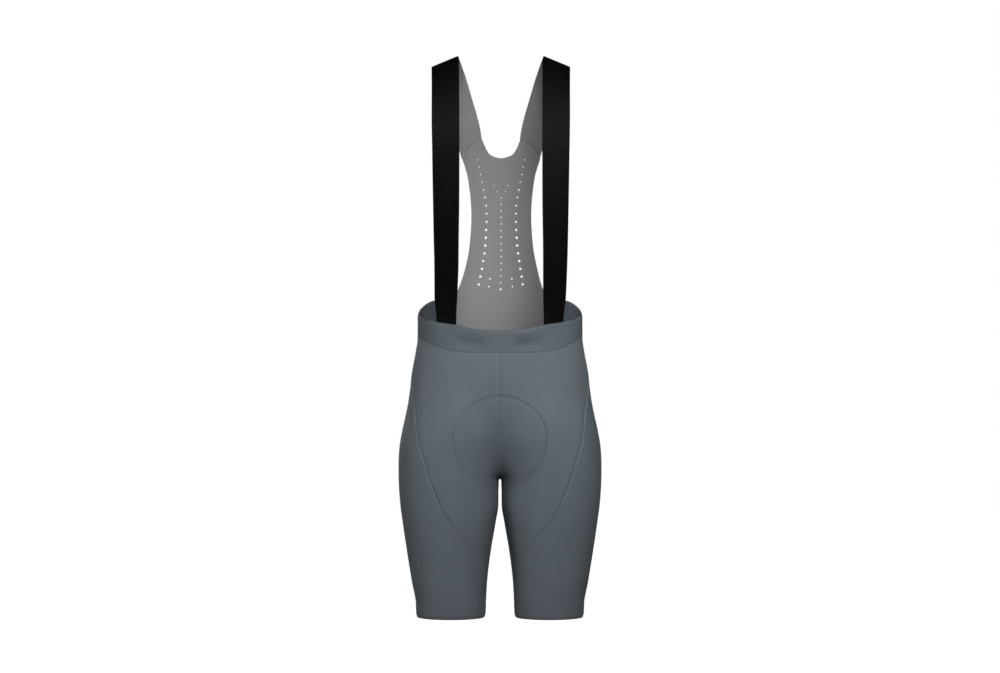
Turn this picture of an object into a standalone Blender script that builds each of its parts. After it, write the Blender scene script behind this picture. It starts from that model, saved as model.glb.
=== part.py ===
"""Cycling bib shorts, filled out as on a standing figure, with nobody in them.

Metres, +Z up. The front faces -Y and the wearer's left is +X. The origin lies midway between the two places
where the straps lie on the shoulders. Every panel is a wall of cloth: a loft over one smooth body surface, cut
along the real seam lines, so neighbouring panels share their seam points and stay one seam gap apart.
"""

import math
from collections import namedtuple

import bpy
import numpy as np

OBJECT_NAME = "cycling_bib_shorts"

# Cloth thicknesses and the gap at a seam
SHORTS_CLOTH = 0.0014
BAND_CLOTH = 0.0022
STRAP_CLOTH = 0.0016
BACK_CLOTH = 0.0012
SEAM_GAP = 0.0003
BAND_PROUD = 0.0004
STRAP_CLEARANCE = 0.0005

# Heights, measured down from the shoulders
CROTCH = -0.710
SWEEP_END = -0.850
HEM = -0.944
BACK_DIP = -0.520
BAND_CORNER = -0.442

# Turns round the body in degrees: -90 is the front centre, 0 the side and 90 the back centre
FRONT_CENTRE = -90.0
SWEEP_TOP_TURN = 22.0
BAND_END_TURN = 54.7
INSEAM_TURN = 180.0

# Grid sizes
FRONT_COLUMNS = 16
LEG_COLUMNS = 12
SEAT_COLUMNS = 12
SEAM_ROWS = 15
HIP_ROWS = 11
TUBE_ROWS = 5
BAND_ROWS = 2
NECK_COLUMNS = 8
YOKE_COLUMNS = SEAT_COLUMNS - NECK_COLUMNS
BACK_ROWS = 18
STRAP_ROWS = 30

# Fine measures of the build itself
SEAM_SAMPLES = 240
PLACE_DIGITS = 7
NORMAL_PROBE = 0.0005
ON_MIDDLE = 0.000001
MERGE_WITHIN = 0.00005
CUTTER_DEPTH = 0.020
SHARP_ANGLE = math.radians(50)

# Level cuts through one half of the body, from the upper back to the hem. side is the outer edge and inner the
# inner edge, which crosses the middle above the crotch. fullness squares the cut off, and groove rounds the
# fold where the two halves meet.
Section = namedtuple("Section", "height side inner front back fullness groove")
SECTIONS = [
    Section(-0.1000, 0.1480, -0.1480, -0.0950, 0.0940, 2.10, 0.000),
    Section(-0.1300, 0.1500, -0.1500, -0.1080, 0.1020, 2.10, 0.000),
    Section(-0.1700, 0.1530, -0.1530, -0.1150, 0.1090, 2.10, 0.000),
    Section(-0.2200, 0.1560, -0.1560, -0.1170, 0.1130, 2.10, 0.000),
    Section(-0.2800, 0.1540, -0.1540, -0.1130, 0.1100, 2.10, 0.000),
    Section(-0.3400, 0.1470, -0.1470, -0.1060, 0.1020, 2.10, 0.000),
    Section(-0.4000, 0.1400, -0.1400, -0.1000, 0.0925, 2.10, 0.000),
    Section(-0.4395, 0.1396, -0.1396, -0.0980, 0.0895, 2.10, 0.000),
    Section(-0.4667, 0.1397, -0.1397, -0.0980, 0.0895, 2.12, 0.000),
    Section(-0.4939, 0.1433, -0.1433, -0.0990, 0.0915, 2.15, 0.000),
    Section(-0.5211, 0.1484, -0.1484, -0.1000, 0.0955, 2.18, 0.000),
    Section(-0.5483, 0.1518, -0.1518, -0.1010, 0.1020, 2.20, 0.000),
    Section(-0.5755, 0.1556, -0.1250, -0.1010, 0.1090, 2.20, 0.010),
    Section(-0.6027, 0.1610, -0.0720, -0.1000, 0.1155, 2.20, 0.019),
    Section(-0.6299, 0.1671, -0.0370, -0.0980, 0.1200, 2.20, 0.022),
    Section(-0.6571, 0.1715, -0.0150, -0.0950, 0.1210, 2.20, 0.021),
    Section(-0.6800, 0.1728, -0.0030, -0.0920, 0.1180, 2.20, 0.016),
    Section(-0.7000, 0.1728, 0.0017, -0.0895, 0.1125, 2.20, 0.009),
    Section(CROTCH, 0.1726, 0.0030, -0.0885, 0.1095, 2.20, 0.003),
    Section(-0.7140, 0.1725, 0.0028, -0.0880, 0.1085, 2.20, 0.000),
    Section(-0.7523, 0.1698, 0.0027, -0.0845, 0.1000, 2.20, 0.000),
    Section(-0.7829, 0.1658, 0.0072, -0.0805, 0.0945, 2.15, 0.000),
    Section(-0.8339, 0.1582, 0.0158, -0.0740, 0.0850, 2.10, 0.000),
    Section(-0.8849, 0.1499, 0.0218, -0.0675, 0.0745, 2.05, 0.000),
    Section(-0.9223, 0.1431, 0.0238, -0.0635, 0.0670, 2.00, 0.000),
    Section(HEM, 0.1425, 0.0245, -0.0620, 0.0640, 2.00, 0.000),
]

# The waistband's top edge and lower seam, round the waist
Waist = namedtuple("Waist", "turn top low")
WAIST = [
    Waist(FRONT_CENTRE, -0.4582, -0.4955),
    Waist(-74.0, -0.4553, -0.4950),
    Waist(-60.0, -0.4487, -0.4931),
    Waist(-40.0, -0.4432, -0.4835),
    Waist(-14.0, -0.4340, -0.4690),
    Waist(0.0, -0.4290, -0.4640),
    Waist(14.0, -0.4201, -0.4570),
    Waist(36.0, -0.4065, -0.4450),
    Waist(BAND_END_TURN, -0.4035, BAND_CORNER),
]

# The sweep seams that bound the leg panel, from the waistband to the inseam
Seam = namedtuple("Seam", "height turn")
FRONT_SWEEP = [
    Seam(-0.4538, SWEEP_TOP_TURN),
    Seam(-0.500, 9.0),
    Seam(-0.535, -4.0),
    Seam(-0.563, -16.2),
    Seam(-0.586, -26.5),
    Seam(-0.613, -38.9),
    Seam(-0.638, -48.8),
    Seam(-0.662, -58.8),
    Seam(-0.681, -66.0),
    Seam(-0.709, -74.0),
    Seam(-0.737, -81.0),
    Seam(-0.762, -87.0),
    Seam(-0.7795, -93.0),
    Seam(-0.7986, -103.5),
    Seam(-0.812, -115.0),
    Seam(-0.826, -129.0),
    Seam(-0.842, -157.0),
    Seam(SWEEP_END, -INSEAM_TURN),
]
BACK_SWEEP = [
    Seam(BAND_CORNER, BAND_END_TURN),
    Seam(-0.500, 50.0),
    Seam(-0.560, 48.3),
    Seam(-0.610, 52.2),
    Seam(-0.650, 56.9),
    Seam(-0.690, 65.4),
    Seam(-0.720, 75.0),
    Seam(-0.750, 84.0),
    Seam(-0.780, 94.0),
    Seam(-0.800, 104.0),
    Seam(-0.815, 117.0),
    Seam(-0.829, 134.0),
    Seam(-0.842, 157.0),
    Seam(SWEEP_END, INSEAM_TURN),
]

# The back panel's outline: its open sides, the neck between the straps, and the curved seam to each strap
Edge = namedtuple("Edge", "height across")
BACK_SIDE = [
    Edge(-0.1600, 0.0674),
    Edge(-0.1747, 0.0625),
    Edge(-0.1886, 0.0586),
    Edge(-0.2025, 0.0563),
    Edge(-0.2303, 0.0531),
    Edge(-0.2581, 0.0517),
    Edge(-0.2859, 0.0527),
    Edge(-0.3137, 0.0552),
    Edge(-0.3415, 0.0603),
    Edge(-0.3693, 0.0674),
    Edge(-0.3832, 0.0721),
    Edge(-0.3950, 0.0778),
    Edge(-0.4035, 0.0828),
]
NECK = [
    Edge(-0.1583, 0.0000),
    Edge(-0.1568, 0.0087),
    Edge(-0.1528, 0.0186),
    Edge(-0.1475, 0.0235),
    Edge(-0.1372, 0.0290),
    Edge(-0.1265, 0.0332),
]
YOKE = [
    Edge(-0.1265, 0.0332),
    Edge(-0.1305, 0.0435),
    Edge(-0.1395, 0.0545),
    Edge(-0.1495, 0.0622),
    Edge(-0.1600, 0.0674),
]

# The perforations wide enough to be cut: one curved column on each side of the middle
HOLE_WIDTH = 0.0046
HOLE_SIDES = 10
HOLE_TOP = -0.2825
HOLE_PITCH = 0.01355
HOLES_A_SIDE = 8
HOLE_COLUMN = [
    Edge(-0.280, 0.0260),
    Edge(-0.310, 0.0277),
    Edge(-0.340, 0.0318),
    Edge(-0.385, 0.0395),
]

# The strap's two edges, from the front of the waist over the shoulder to the back
Ribbon = namedtuple("Ribbon", "inner_x inner_y inner_z outer_x outer_y outer_z")
STRAP = [
    Ribbon(0.0723, -0.0905, -0.4000, 0.1106, -0.0665, -0.4000),
    Ribbon(0.0712, -0.0975, -0.3600, 0.1113, -0.0760, -0.3600),
    Ribbon(0.0706, -0.1045, -0.3070, 0.1123, -0.0870, -0.3070),
    Ribbon(0.0695, -0.1100, -0.2400, 0.1132, -0.0985, -0.2400),
    Ribbon(0.0692, -0.1110, -0.1580, 0.1143, -0.1045, -0.1580),
    Ribbon(0.0696, -0.1010, -0.1080, 0.1153, -0.0965, -0.1080),
    Ribbon(0.0701, -0.0800, -0.0580, 0.1157, -0.0760, -0.0610),
    Ribbon(0.0708, -0.0540, -0.0190, 0.1165, -0.0510, -0.0330),
    Ribbon(0.0718, -0.0270, 0.0035, 0.1173, -0.0250, -0.0145),
    Ribbon(0.0727, 0.0000, 0.0094, 0.1180, 0.0000, -0.0094),
    Ribbon(0.0697, 0.0240, 0.0020, 0.1150, 0.0220, -0.0160),
    Ribbon(0.0645, 0.0420, -0.0120, 0.1085, 0.0360, -0.0290),
    Ribbon(0.0592, 0.0555, -0.0271, 0.1020, 0.0470, -0.0420),
    Ribbon(0.0534, 0.0670, -0.0465, 0.0962, 0.0570, -0.0600),
    Ribbon(0.0475, 0.0765, -0.0663, 0.0902, 0.0660, -0.0800),
    Ribbon(0.0415, 0.0850, -0.0863, 0.0840, 0.0750, -0.1030),
    Ribbon(0.0365, 0.0920, -0.1067, 0.0760, 0.0850, -0.1310),
]
# Where the strap lies inside the waistband: its edges and the heights of its rows, its sewn end first
STRAP_IN_BAND_INNER = 0.0745
STRAP_IN_BAND_OUTER = 0.1085
STRAP_IN_BAND_HEIGHTS = (-0.484, -0.462, -0.440)

# Finishes: colour, roughness and metallic value
SLATE = ((0.092, 0.110, 0.128, 1.0), 0.72, 0.0)
SLATE_BAND = ((0.082, 0.099, 0.116, 1.0), 0.70, 0.0)
GREY = ((0.220, 0.220, 0.222, 1.0), 0.85, 0.0)
BLACK = ((0.006, 0.006, 0.007, 1.0), 0.60, 0.0)


def smooth_curve(places, values):
    """A smooth curve through the given values that never overshoots them, as a function of the place."""
    x = np.asarray(places, float)
    y = np.asarray(values, float)
    if x[0] > x[-1]:
        x, y = x[::-1], y[::-1]
    step = np.diff(x)
    rise = np.diff(y) / step
    slope = np.zeros(len(x))
    slope[0], slope[-1] = rise[0], rise[-1]
    for i in range(1, len(x) - 1):
        if rise[i - 1] * rise[i] > 0:
            before = 2 * step[i] + step[i - 1]
            after = step[i] + 2 * step[i - 1]
            slope[i] = (before + after) / (before / rise[i - 1] + after / rise[i])

    def at(place):
        place = min(max(place, x[0]), x[-1])
        i = min(int(np.searchsorted(x, place, side="right")) - 1, len(step) - 1)
        t = (place - x[i]) / step[i]
        return (
            (1 + 2 * t) * (1 - t) ** 2 * y[i]
            + t * (1 - t) ** 2 * step[i] * slope[i]
            + t * t * (3 - 2 * t) * y[i + 1]
            + t * t * (t - 1) * step[i] * slope[i + 1]
        )

    return at


def table_curve(rows, place, value):
    """A smooth curve of one named column of a table over another."""
    return smooth_curve([getattr(row, place) for row in rows], [getattr(row, value) for row in rows])


SECTION_CURVES = {name: table_curve(SECTIONS, "height", name) for name in Section._fields[1:]}
BAND_TOP = table_curve(WAIST, "turn", "top")
BAND_LOW = table_curve(WAIST, "turn", "low")


def section_at(height):
    return Section(height, *[curve(height) for curve in SECTION_CURVES.values()])


def half_cut(section):
    """The centre and half sizes of the rounded cut through one half: across, then front to back."""
    side = math.hypot(section.side, section.groove)
    centre = (side + section.inner) / 2
    width = (side - section.inner) / 2
    middle = (section.front + section.back) / 2
    depth = (section.back - section.front) / 2
    return centre, width, middle, depth


def signed_power(value, power):
    return math.copysign(abs(value) ** power, value)


def turn_at(across, height):
    """The turn on the back half at which the surface lies this far from the middle."""
    section = section_at(height)
    centre, width, _, _ = half_cut(section)
    ratio = (math.hypot(across, section.groove) - centre) / width
    ratio = min(max(ratio, -1.0), 1.0)
    return math.degrees(math.acos(signed_power(ratio, section.fullness / 2)))


def cloth_point(turn, height):
    """The outer face of the cloth at a turn round the body and a height."""
    section = section_at(height)
    centre, width, middle, depth = half_cut(section)
    angle = math.radians(turn)
    across = centre + width * signed_power(math.cos(angle), 2 / section.fullness)
    along = middle + depth * signed_power(math.sin(angle), 2 / section.fullness)
    across = math.sqrt(max(across * across - section.groove * section.groove, 0.0))
    return np.array((across, along, height))


def depth_at(across, height, to_back):
    """How far back (or forward) the surface lies above the fork of the legs."""
    section = section_at(height)
    _, width, middle, depth = half_cut(section)
    reach = (1 - (abs(across) / width) ** section.fullness) ** (1 / section.fullness)
    return middle + (depth if to_back else -depth) * reach


def surface_value(x, y, height):
    """Zero on the surface and more outside it."""
    section = section_at(height)
    centre, width, middle, depth = half_cut(section)
    across = abs(math.hypot(x, section.groove) - centre) / width
    along = abs(y - middle) / depth
    return across**section.fullness + along**section.fullness


def cloth_normal(point):
    """The outward direction of the surface. It is the same on both sides of every seam."""
    x, y, height = point
    section = section_at(height)
    centre, width, middle, depth = half_cut(section)
    power = section.fullness - 1
    folded = math.hypot(x, section.groove)
    slope_x = signed_power((folded - centre) / width, power) / width
    slope_x *= x / folded if folded > 0 else 0.0
    slope_y = signed_power((y - middle) / depth, power) / depth
    above = surface_value(x, y, min(height + NORMAL_PROBE, SECTIONS[0].height))
    below = surface_value(x, y, max(height - NORMAL_PROBE, HEM))
    slope_z = (above - below) / (2 * NORMAL_PROBE) / section.fullness
    normal = np.array((slope_x, slope_y, slope_z))
    return normal / np.linalg.norm(normal)


# Lines on the surface, as (turn, height) pairs


def evenly_spaced(line, count):
    """count + 1 places along a line, evenly spaced on the cloth. line maps 0 to 1 to (turn, height)."""
    places = [line(i / SEAM_SAMPLES) for i in range(SEAM_SAMPLES + 1)]
    points = np.array([cloth_point(*place) for place in places])
    lengths = np.concatenate([[0.0], np.cumsum(np.linalg.norm(np.diff(points, axis=0), axis=1))])
    wanted = np.linspace(0.0, lengths[-1], count + 1)
    shares = np.interp(wanted, lengths, np.linspace(0.0, 1.0, SEAM_SAMPLES + 1))
    return np.array([line(share) for share in shares])


def seam_line(rows):
    """A sweep seam as a line, from its top to the inseam."""
    turn = table_curve(rows, "height", "turn")
    top, bottom = rows[0].height, rows[-1].height

    def line(share):
        height = top + (bottom - top) * share
        return turn(height), height

    return line


def middle_turn(height):
    """The turn at which the surface meets the middle plane, 90 above the fork and 180 at the crotch."""
    return turn_at(0.0, height)


def rise_line(top, side):
    """The middle seam from the waist to the crotch. side is -1 at the front and 1 at the back."""

    def line(share):
        height = CROTCH + (top - CROTCH) * (1 - share) ** 2
        return side * middle_turn(height), height

    return line


def band_seam_line(start, end):
    def line(share):
        turn = start + (end - start) * share
        return turn, BAND_LOW(turn)

    return line


def dip_line(share):
    """The back panel's lower edge, from the middle round to the band's end."""
    angle = math.radians(90 * share)
    across = cloth_point(BAND_END_TURN, BAND_CORNER)[0] * math.sin(angle)
    height = BAND_CORNER + (BACK_DIP - BAND_CORNER) * math.cos(angle)
    return turn_at(across, height), height


def straight_line(start, end, count):
    return np.linspace(start, end, count + 1)


# Patches and walls


def filled_patch(top, bottom, left, right):
    """The grid of places between four edges that meet at their corners."""
    rows, columns = len(left), len(top)
    grid = np.zeros((rows, columns, 2))
    for i in range(rows):
        down = i / (rows - 1)
        for j in range(columns):
            over = j / (columns - 1)
            edges = (1 - down) * top[j] + down * bottom[j] + (1 - over) * left[i] + over * right[i]
            corners = (1 - down) * ((1 - over) * top[0] + over * top[-1])
            corners = corners + down * ((1 - over) * bottom[0] + over * bottom[-1])
            grid[i, j] = edges - corners
    return grid


def joined_grids(grids):
    """The places of one or more grids, each place once, and the four-sided faces between them."""
    places = []
    numbers = {}
    faces = []
    for grid in grids:
        index = []
        for row in grid:
            index.append([])
            for place in row:
                key = tuple(np.round(place, PLACE_DIGITS))
                if key not in numbers:
                    numbers[key] = len(places)
                    places.append(place)
                index[-1].append(numbers[key])
        for upper, lower in zip(index, index[1:]):
            for j in range(len(upper) - 1):
                faces.append([upper[j], upper[j + 1], lower[j + 1], lower[j]])
    return np.array(places), faces


def outline_edges(faces):
    """The edges that only one face has, each with that face, in the face's own direction."""
    owners = {}
    for face in faces:
        for a, b in zip(face, face[1:] + face[:1]):
            owners.setdefault(frozenset((a, b)), []).append((a, b, face))
    return [found[0] for found in owners.values() if len(found) == 1]


def drawn_in(points, normals, edges):
    """The points with those on the given edges moved into the cloth by half a seam gap."""
    directions = {}
    for a, b, face in edges:
        direction = np.cross(normals[a] + normals[b], points[b] - points[a])
        if np.dot(direction, points[face].mean(axis=0) - points[a]) < 0:
            direction = -direction
        for point in (a, b):
            directions.setdefault(point, []).append(direction / np.linalg.norm(direction))
    moved = points.copy()
    for point, found in directions.items():
        if len(found) == 1:
            moved[point] += found[0] * SEAM_GAP / 2
        else:
            moved[point] += (found[0] + found[1]) * SEAM_GAP / 2 / (1 + np.dot(*found))
    return moved


def wall_mesh(name, points, normals, faces, cloth, proud=0.0, half=False):
    """A closed wall of cloth whose outer face holds the points. Half a wall stays open at the middle plane."""
    middle = np.abs(points[:, 0]) < ON_MIDDLE
    edges = [edge for edge in outline_edges(faces) if not (half and middle[edge[0]] and middle[edge[1]])]
    points = drawn_in(points, normals, edges)
    outer = points + normals * proud
    inner = outer - normals * cloth
    if half:
        outer[middle, 0] = 0.0
        inner[middle, 0] = 0.0
    a, b, _, d = faces[len(faces) // 2]
    inside_out = np.dot(np.cross(points[b] - points[a], points[d] - points[a]), normals[a]) < 0
    count = len(points)
    skin = list(faces)
    skin += [[index + count for index in face[::-1]] for face in faces]
    skin += [[b, a, a + count, b + count] for a, b, _ in edges]
    if inside_out:
        skin = [face[::-1] for face in skin]
    mesh = bpy.data.meshes.new(name)
    mesh.from_pydata(np.concatenate([outer, inner]).tolist(), [], skin)
    mesh.shade_smooth()
    mesh.set_sharp_from_angle(angle=SHARP_ANGLE)
    return mesh


def finish(name, finish_values):
    """A material with the finish's colour, roughness and metallic value."""
    material = bpy.data.materials.new(name)
    material.use_nodes = True
    shader = material.node_tree.nodes["Principled BSDF"]
    colour, roughness, metallic = finish_values
    shader.inputs["Base Color"].default_value = colour
    shader.inputs["Roughness"].default_value = roughness
    shader.inputs["Metallic"].default_value = metallic
    return material


def place_object(name, mesh, material, collection):
    thing = bpy.data.objects.new(name, mesh)
    thing.data.materials.append(material)
    collection.objects.link(thing)
    return thing


def mirrored_mesh(mesh, name):
    """A copy of the mesh for the other side of the body."""
    points = [(-vertex.co.x, vertex.co.y, vertex.co.z) for vertex in mesh.vertices]
    faces = [list(polygon.vertices)[::-1] for polygon in mesh.polygons]
    copy = bpy.data.meshes.new(name)
    copy.from_pydata(points, [], faces)
    copy.shade_smooth()
    copy.set_sharp_from_angle(angle=SHARP_ANGLE)
    return copy


def place_pair(name, mesh, material, collection):
    """The left piece, at +X, and its mirror image on the right."""
    place_object(f"{name}_left", mesh, material, collection)
    place_object(f"{name}_right", mirrored_mesh(mesh, f"{name}_right"), material, collection)


def mirror_across_middle(thing):
    mirror = thing.modifiers.new("Mirror", "MIRROR")
    mirror.use_axis[0] = True
    mirror.use_clip = True
    mirror.merge_threshold = MERGE_WITHIN


def surface_wall(name, grids, cloth, proud=0.0, half=False):
    """A wall over patches of the body surface, given as grids of (turn, height) places."""
    places, faces = joined_grids(grids)
    points = np.array([cloth_point(*place) for place in places])
    normals = np.array([cloth_normal(point) for point in points])
    return wall_mesh(name, points, normals, faces, cloth, proud, half)


# The pieces


def front_panel_grid():
    return filled_patch(
        top=evenly_spaced(band_seam_line(FRONT_CENTRE, SWEEP_TOP_TURN), FRONT_COLUMNS),
        bottom=straight_line((-INSEAM_TURN, CROTCH), (-INSEAM_TURN, SWEEP_END), FRONT_COLUMNS),
        left=evenly_spaced(rise_line(BAND_LOW(FRONT_CENTRE), -1), SEAM_ROWS),
        right=evenly_spaced(seam_line(FRONT_SWEEP), SEAM_ROWS),
    )


def seat_panel_grid():
    return filled_patch(
        top=evenly_spaced(dip_line, SEAT_COLUMNS),
        bottom=straight_line((INSEAM_TURN, CROTCH), (INSEAM_TURN, SWEEP_END), SEAT_COLUMNS),
        left=evenly_spaced(rise_line(BACK_DIP, 1), SEAM_ROWS),
        right=evenly_spaced(seam_line(BACK_SWEEP), SEAM_ROWS),
    )


def leg_panel_grids():
    """The leg panel in two grids: the hip side between the steep parts of both seams, and the tube below it."""
    front = evenly_spaced(seam_line(FRONT_SWEEP), SEAM_ROWS)
    back = evenly_spaced(seam_line(BACK_SWEEP), SEAM_ROWS)
    across = straight_line(front[HIP_ROWS], back[HIP_ROWS], LEG_COLUMNS)
    hip = filled_patch(
        top=evenly_spaced(band_seam_line(SWEEP_TOP_TURN, BAND_END_TURN), LEG_COLUMNS),
        bottom=across,
        left=front[: HIP_ROWS + 1],
        right=back[: HIP_ROWS + 1],
    )
    ring = np.concatenate([front[:HIP_ROWS:-1], across, back[HIP_ROWS + 1 :]])
    rows = []
    for down in np.linspace(0.0, 1.0, TUBE_ROWS + 1):
        rows.append([(turn, height + (HEM - height) * down) for turn, height in ring])
    return [hip, np.array(rows)]


def band_grid():
    """Half the waistband. Its columns meet those of the panels below it."""
    front = evenly_spaced(band_seam_line(FRONT_CENTRE, SWEEP_TOP_TURN), FRONT_COLUMNS)
    back = evenly_spaced(band_seam_line(SWEEP_TOP_TURN, BAND_END_TURN), LEG_COLUMNS)
    turns = np.concatenate([front[:, 0], back[1:, 0]])
    rows = []
    for down in np.linspace(0.0, 1.0, BAND_ROWS + 1):
        rows.append([(turn, BAND_TOP(turn) * (1 - down) + BAND_LOW(turn) * down) for turn in turns])
    return np.array(rows)


def edge_points(rows, count):
    """count + 1 evenly spaced (across, height) places along a table of edge points."""
    corners = np.array([(row.across, row.height) for row in rows])
    steps = np.concatenate([[0.0], np.cumsum(np.linalg.norm(np.diff(corners, axis=0), axis=1))])
    across = smooth_curve(steps, corners[:, 0])
    height = smooth_curve(steps, corners[:, 1])
    return np.array([(across(s), height(s)) for s in np.linspace(0.0, steps[-1], count + 1)])


def yoke_points():
    """The seam between the back panel and a strap, from the neck outwards."""
    return edge_points(YOKE, YOKE_COLUMNS)


def back_panel_mesh():
    """Half the back panel, open at the middle. Its lower edge takes the seat panel's own seam points."""
    dip = evenly_spaced(dip_line, SEAT_COLUMNS)
    bottom = np.array([cloth_point(*place)[[0, 2]] for place in dip])
    corner = [Edge(BAND_CORNER, bottom[-1][0])]
    neck = edge_points(NECK, NECK_COLUMNS)
    grid = filled_patch(
        top=np.concatenate([neck, yoke_points()[1:]]),
        bottom=bottom,
        left=straight_line(neck[0], bottom[0], BACK_ROWS),
        right=edge_points(BACK_SIDE + corner, BACK_ROWS),
    )
    places, faces = joined_grids([grid])
    points = np.array([(x, depth_at(x, z, True), z) for x, z in places])
    normals = np.array([cloth_normal(point) for point in points])
    return wall_mesh("back_panel", points, normals, faces, BACK_CLOTH, half=True)


def strap_rows_in_band():
    """The strap's rows behind the waistband, made from the band's own surface and moved in."""
    depth = BAND_CLOTH - BAND_PROUD + STRAP_CLEARANCE
    rows = []
    for height in STRAP_IN_BAND_HEIGHTS:
        row = []
        for x in np.linspace(STRAP_IN_BAND_INNER, STRAP_IN_BAND_OUTER, YOKE_COLUMNS + 1):
            point = np.array((x, depth_at(x, height, False), height))
            row.append(point - cloth_normal(point) * depth)
        rows.append(row)
    return rows


def strap_mesh():
    """One strap, from inside the front band over the shoulder to the curved seam on the back panel."""
    shares = np.linspace(0.0, 1.0, YOKE_COLUMNS + 1)
    rows = strap_rows_in_band()
    for row in STRAP:
        inner = np.array((row.inner_x, row.inner_y, row.inner_z))
        outer = np.array((row.outer_x, row.outer_y, row.outer_z))
        rows.append([inner + (outer - inner) * share for share in shares])
    rows.append([(x, depth_at(x, z, True), z) for x, z in yoke_points()])
    rows = np.array(rows)
    middle = rows[:, YOKE_COLUMNS // 2]
    steps = np.concatenate([[0.0], np.cumsum(np.linalg.norm(np.diff(middle, axis=0), axis=1))])
    wanted = np.linspace(0.0, steps[-1], STRAP_ROWS + 1)
    points = np.zeros((STRAP_ROWS + 1, YOKE_COLUMNS + 1, 3))
    for j in range(YOKE_COLUMNS + 1):
        for axis in range(3):
            curve = smooth_curve(steps, rows[:, j, axis])
            points[:, j, axis] = [curve(step) for step in wanted]
    along = np.gradient(points, axis=0)
    across = np.gradient(points, axis=1)
    normals = np.cross(across, along)
    normals /= np.linalg.norm(normals, axis=2, keepdims=True)
    # The sewn end takes the panel's own outward direction, so the two ends meet square.
    normals[-1] = [cloth_normal(point) for point in points[-1]]
    places, faces = joined_grids([np.concatenate([points, normals], axis=2)])
    return wall_mesh("strap_left", places[:, :3], places[:, 3:], faces, STRAP_CLOTH)


def cut_holes(panel, cutters):
    """Cuts the two columns of large perforations through the back panel."""
    across_at = table_curve(HOLE_COLUMN, "height", "across")
    for n in range(HOLES_A_SIDE):
        height = HOLE_TOP - n * HOLE_PITCH
        across = across_at(height)
        for side in (-1, 1):
            bpy.ops.mesh.primitive_cylinder_add(
                vertices=HOLE_SIDES,
                radius=HOLE_WIDTH / 2,
                depth=CUTTER_DEPTH,
                location=(side * across, depth_at(across, height, True), height),
                rotation=(math.pi / 2, 0, 0),
            )
            cutter = bpy.context.active_object
            cutter.name = f"perforation_cutter_{n}_{'left' if side > 0 else 'right'}"
            cutter.hide_render = True
            cutter.display_type = "WIRE"
            for owner in list(cutter.users_collection):
                owner.objects.unlink(cutter)
            cutters.objects.link(cutter)
    cut = panel.modifiers.new("Perforations", "BOOLEAN")
    cut.operation = "DIFFERENCE"
    cut.operand_type = "COLLECTION"
    cut.collection = cutters
    cut.solver = "EXACT"


def build():
    for thing in list(bpy.data.objects):
        bpy.data.objects.remove(thing, do_unlink=True)
    garment = bpy.data.collections.new(OBJECT_NAME)
    cutters = bpy.data.collections.new("perforation_cutters")
    for collection in (garment, cutters):
        bpy.context.scene.collection.children.link(collection)
    slate = finish("slate_knit", SLATE)
    band_slate = finish("slate_band", SLATE_BAND)
    grey = finish("grey_mesh", GREY)
    black = finish("black_webbing", BLACK)

    front = surface_wall("front_panel_left", [front_panel_grid()], SHORTS_CLOTH)
    place_pair("front_panel", front, slate, garment)
    leg = surface_wall("leg_panel_left", leg_panel_grids(), SHORTS_CLOTH)
    place_pair("leg_panel", leg, slate, garment)
    seat = surface_wall("seat_panel_left", [seat_panel_grid()], SHORTS_CLOTH)
    place_pair("seat_panel", seat, slate, garment)

    band = surface_wall("waistband", [band_grid()], BAND_CLOTH, BAND_PROUD, half=True)
    mirror_across_middle(place_object("waistband", band, band_slate, garment))

    panel = place_object("back_panel", back_panel_mesh(), grey, garment)
    mirror_across_middle(panel)
    cut_holes(panel, cutters)

    place_pair("strap", strap_mesh(), black, garment)


build()
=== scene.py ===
"""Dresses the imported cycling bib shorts: fine cloth shells on the panels' own forms, sewing, perforations,
webbing ribs, knit materials, and a plain studio. Metres, +Z up, the front faces -Y."""

import math
from collections import namedtuple

import bpy
import numpy as np
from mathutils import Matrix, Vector, geometry, kdtree


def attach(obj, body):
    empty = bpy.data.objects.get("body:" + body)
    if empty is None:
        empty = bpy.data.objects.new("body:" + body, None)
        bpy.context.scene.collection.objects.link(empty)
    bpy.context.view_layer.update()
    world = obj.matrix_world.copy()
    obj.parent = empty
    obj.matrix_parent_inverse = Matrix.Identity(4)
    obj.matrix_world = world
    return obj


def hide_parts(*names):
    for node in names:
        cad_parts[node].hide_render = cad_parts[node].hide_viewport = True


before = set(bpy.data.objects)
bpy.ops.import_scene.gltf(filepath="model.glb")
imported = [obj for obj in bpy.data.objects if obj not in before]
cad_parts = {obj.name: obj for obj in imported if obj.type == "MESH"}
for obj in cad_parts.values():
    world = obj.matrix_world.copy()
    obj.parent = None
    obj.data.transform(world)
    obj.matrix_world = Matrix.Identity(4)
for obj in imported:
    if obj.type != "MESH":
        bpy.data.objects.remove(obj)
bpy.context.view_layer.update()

# The photograph's frame: its width in pixels, metres a pixel at the plane y = 0, and the level camera
PHOTO_WIDTH = 1000
PIXEL = 0.0017
CAMERA_DISTANCE = 5.1
CAMERA_HEIGHT = -0.4675
SENSOR = 36.0

# Cloth thicknesses as in the solids, how far the band stands proud and how far inside it the strap lies
SHORTS_CLOTH = 0.0014
BAND_CLOTH = 0.0022
STRAP_CLOTH = 0.0016
BACK_CLOTH = 0.0012
BAND_PROUD = 0.0004
STRAP_CLEARANCE = 0.0005

# Heights, measured down from the shoulders
CROTCH = -0.710
SWEEP_END = -0.850
HEM = -0.944
BACK_DIP = -0.520
BAND_CORNER = -0.442

# Turns round the body in degrees: -90 is the front centre, 0 the side and 90 the back centre
FRONT_CENTRE = -90.0
SWEEP_TOP_TURN = 22.0
BAND_END_TURN = 54.7
INSEAM_TURN = 180.0

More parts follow.
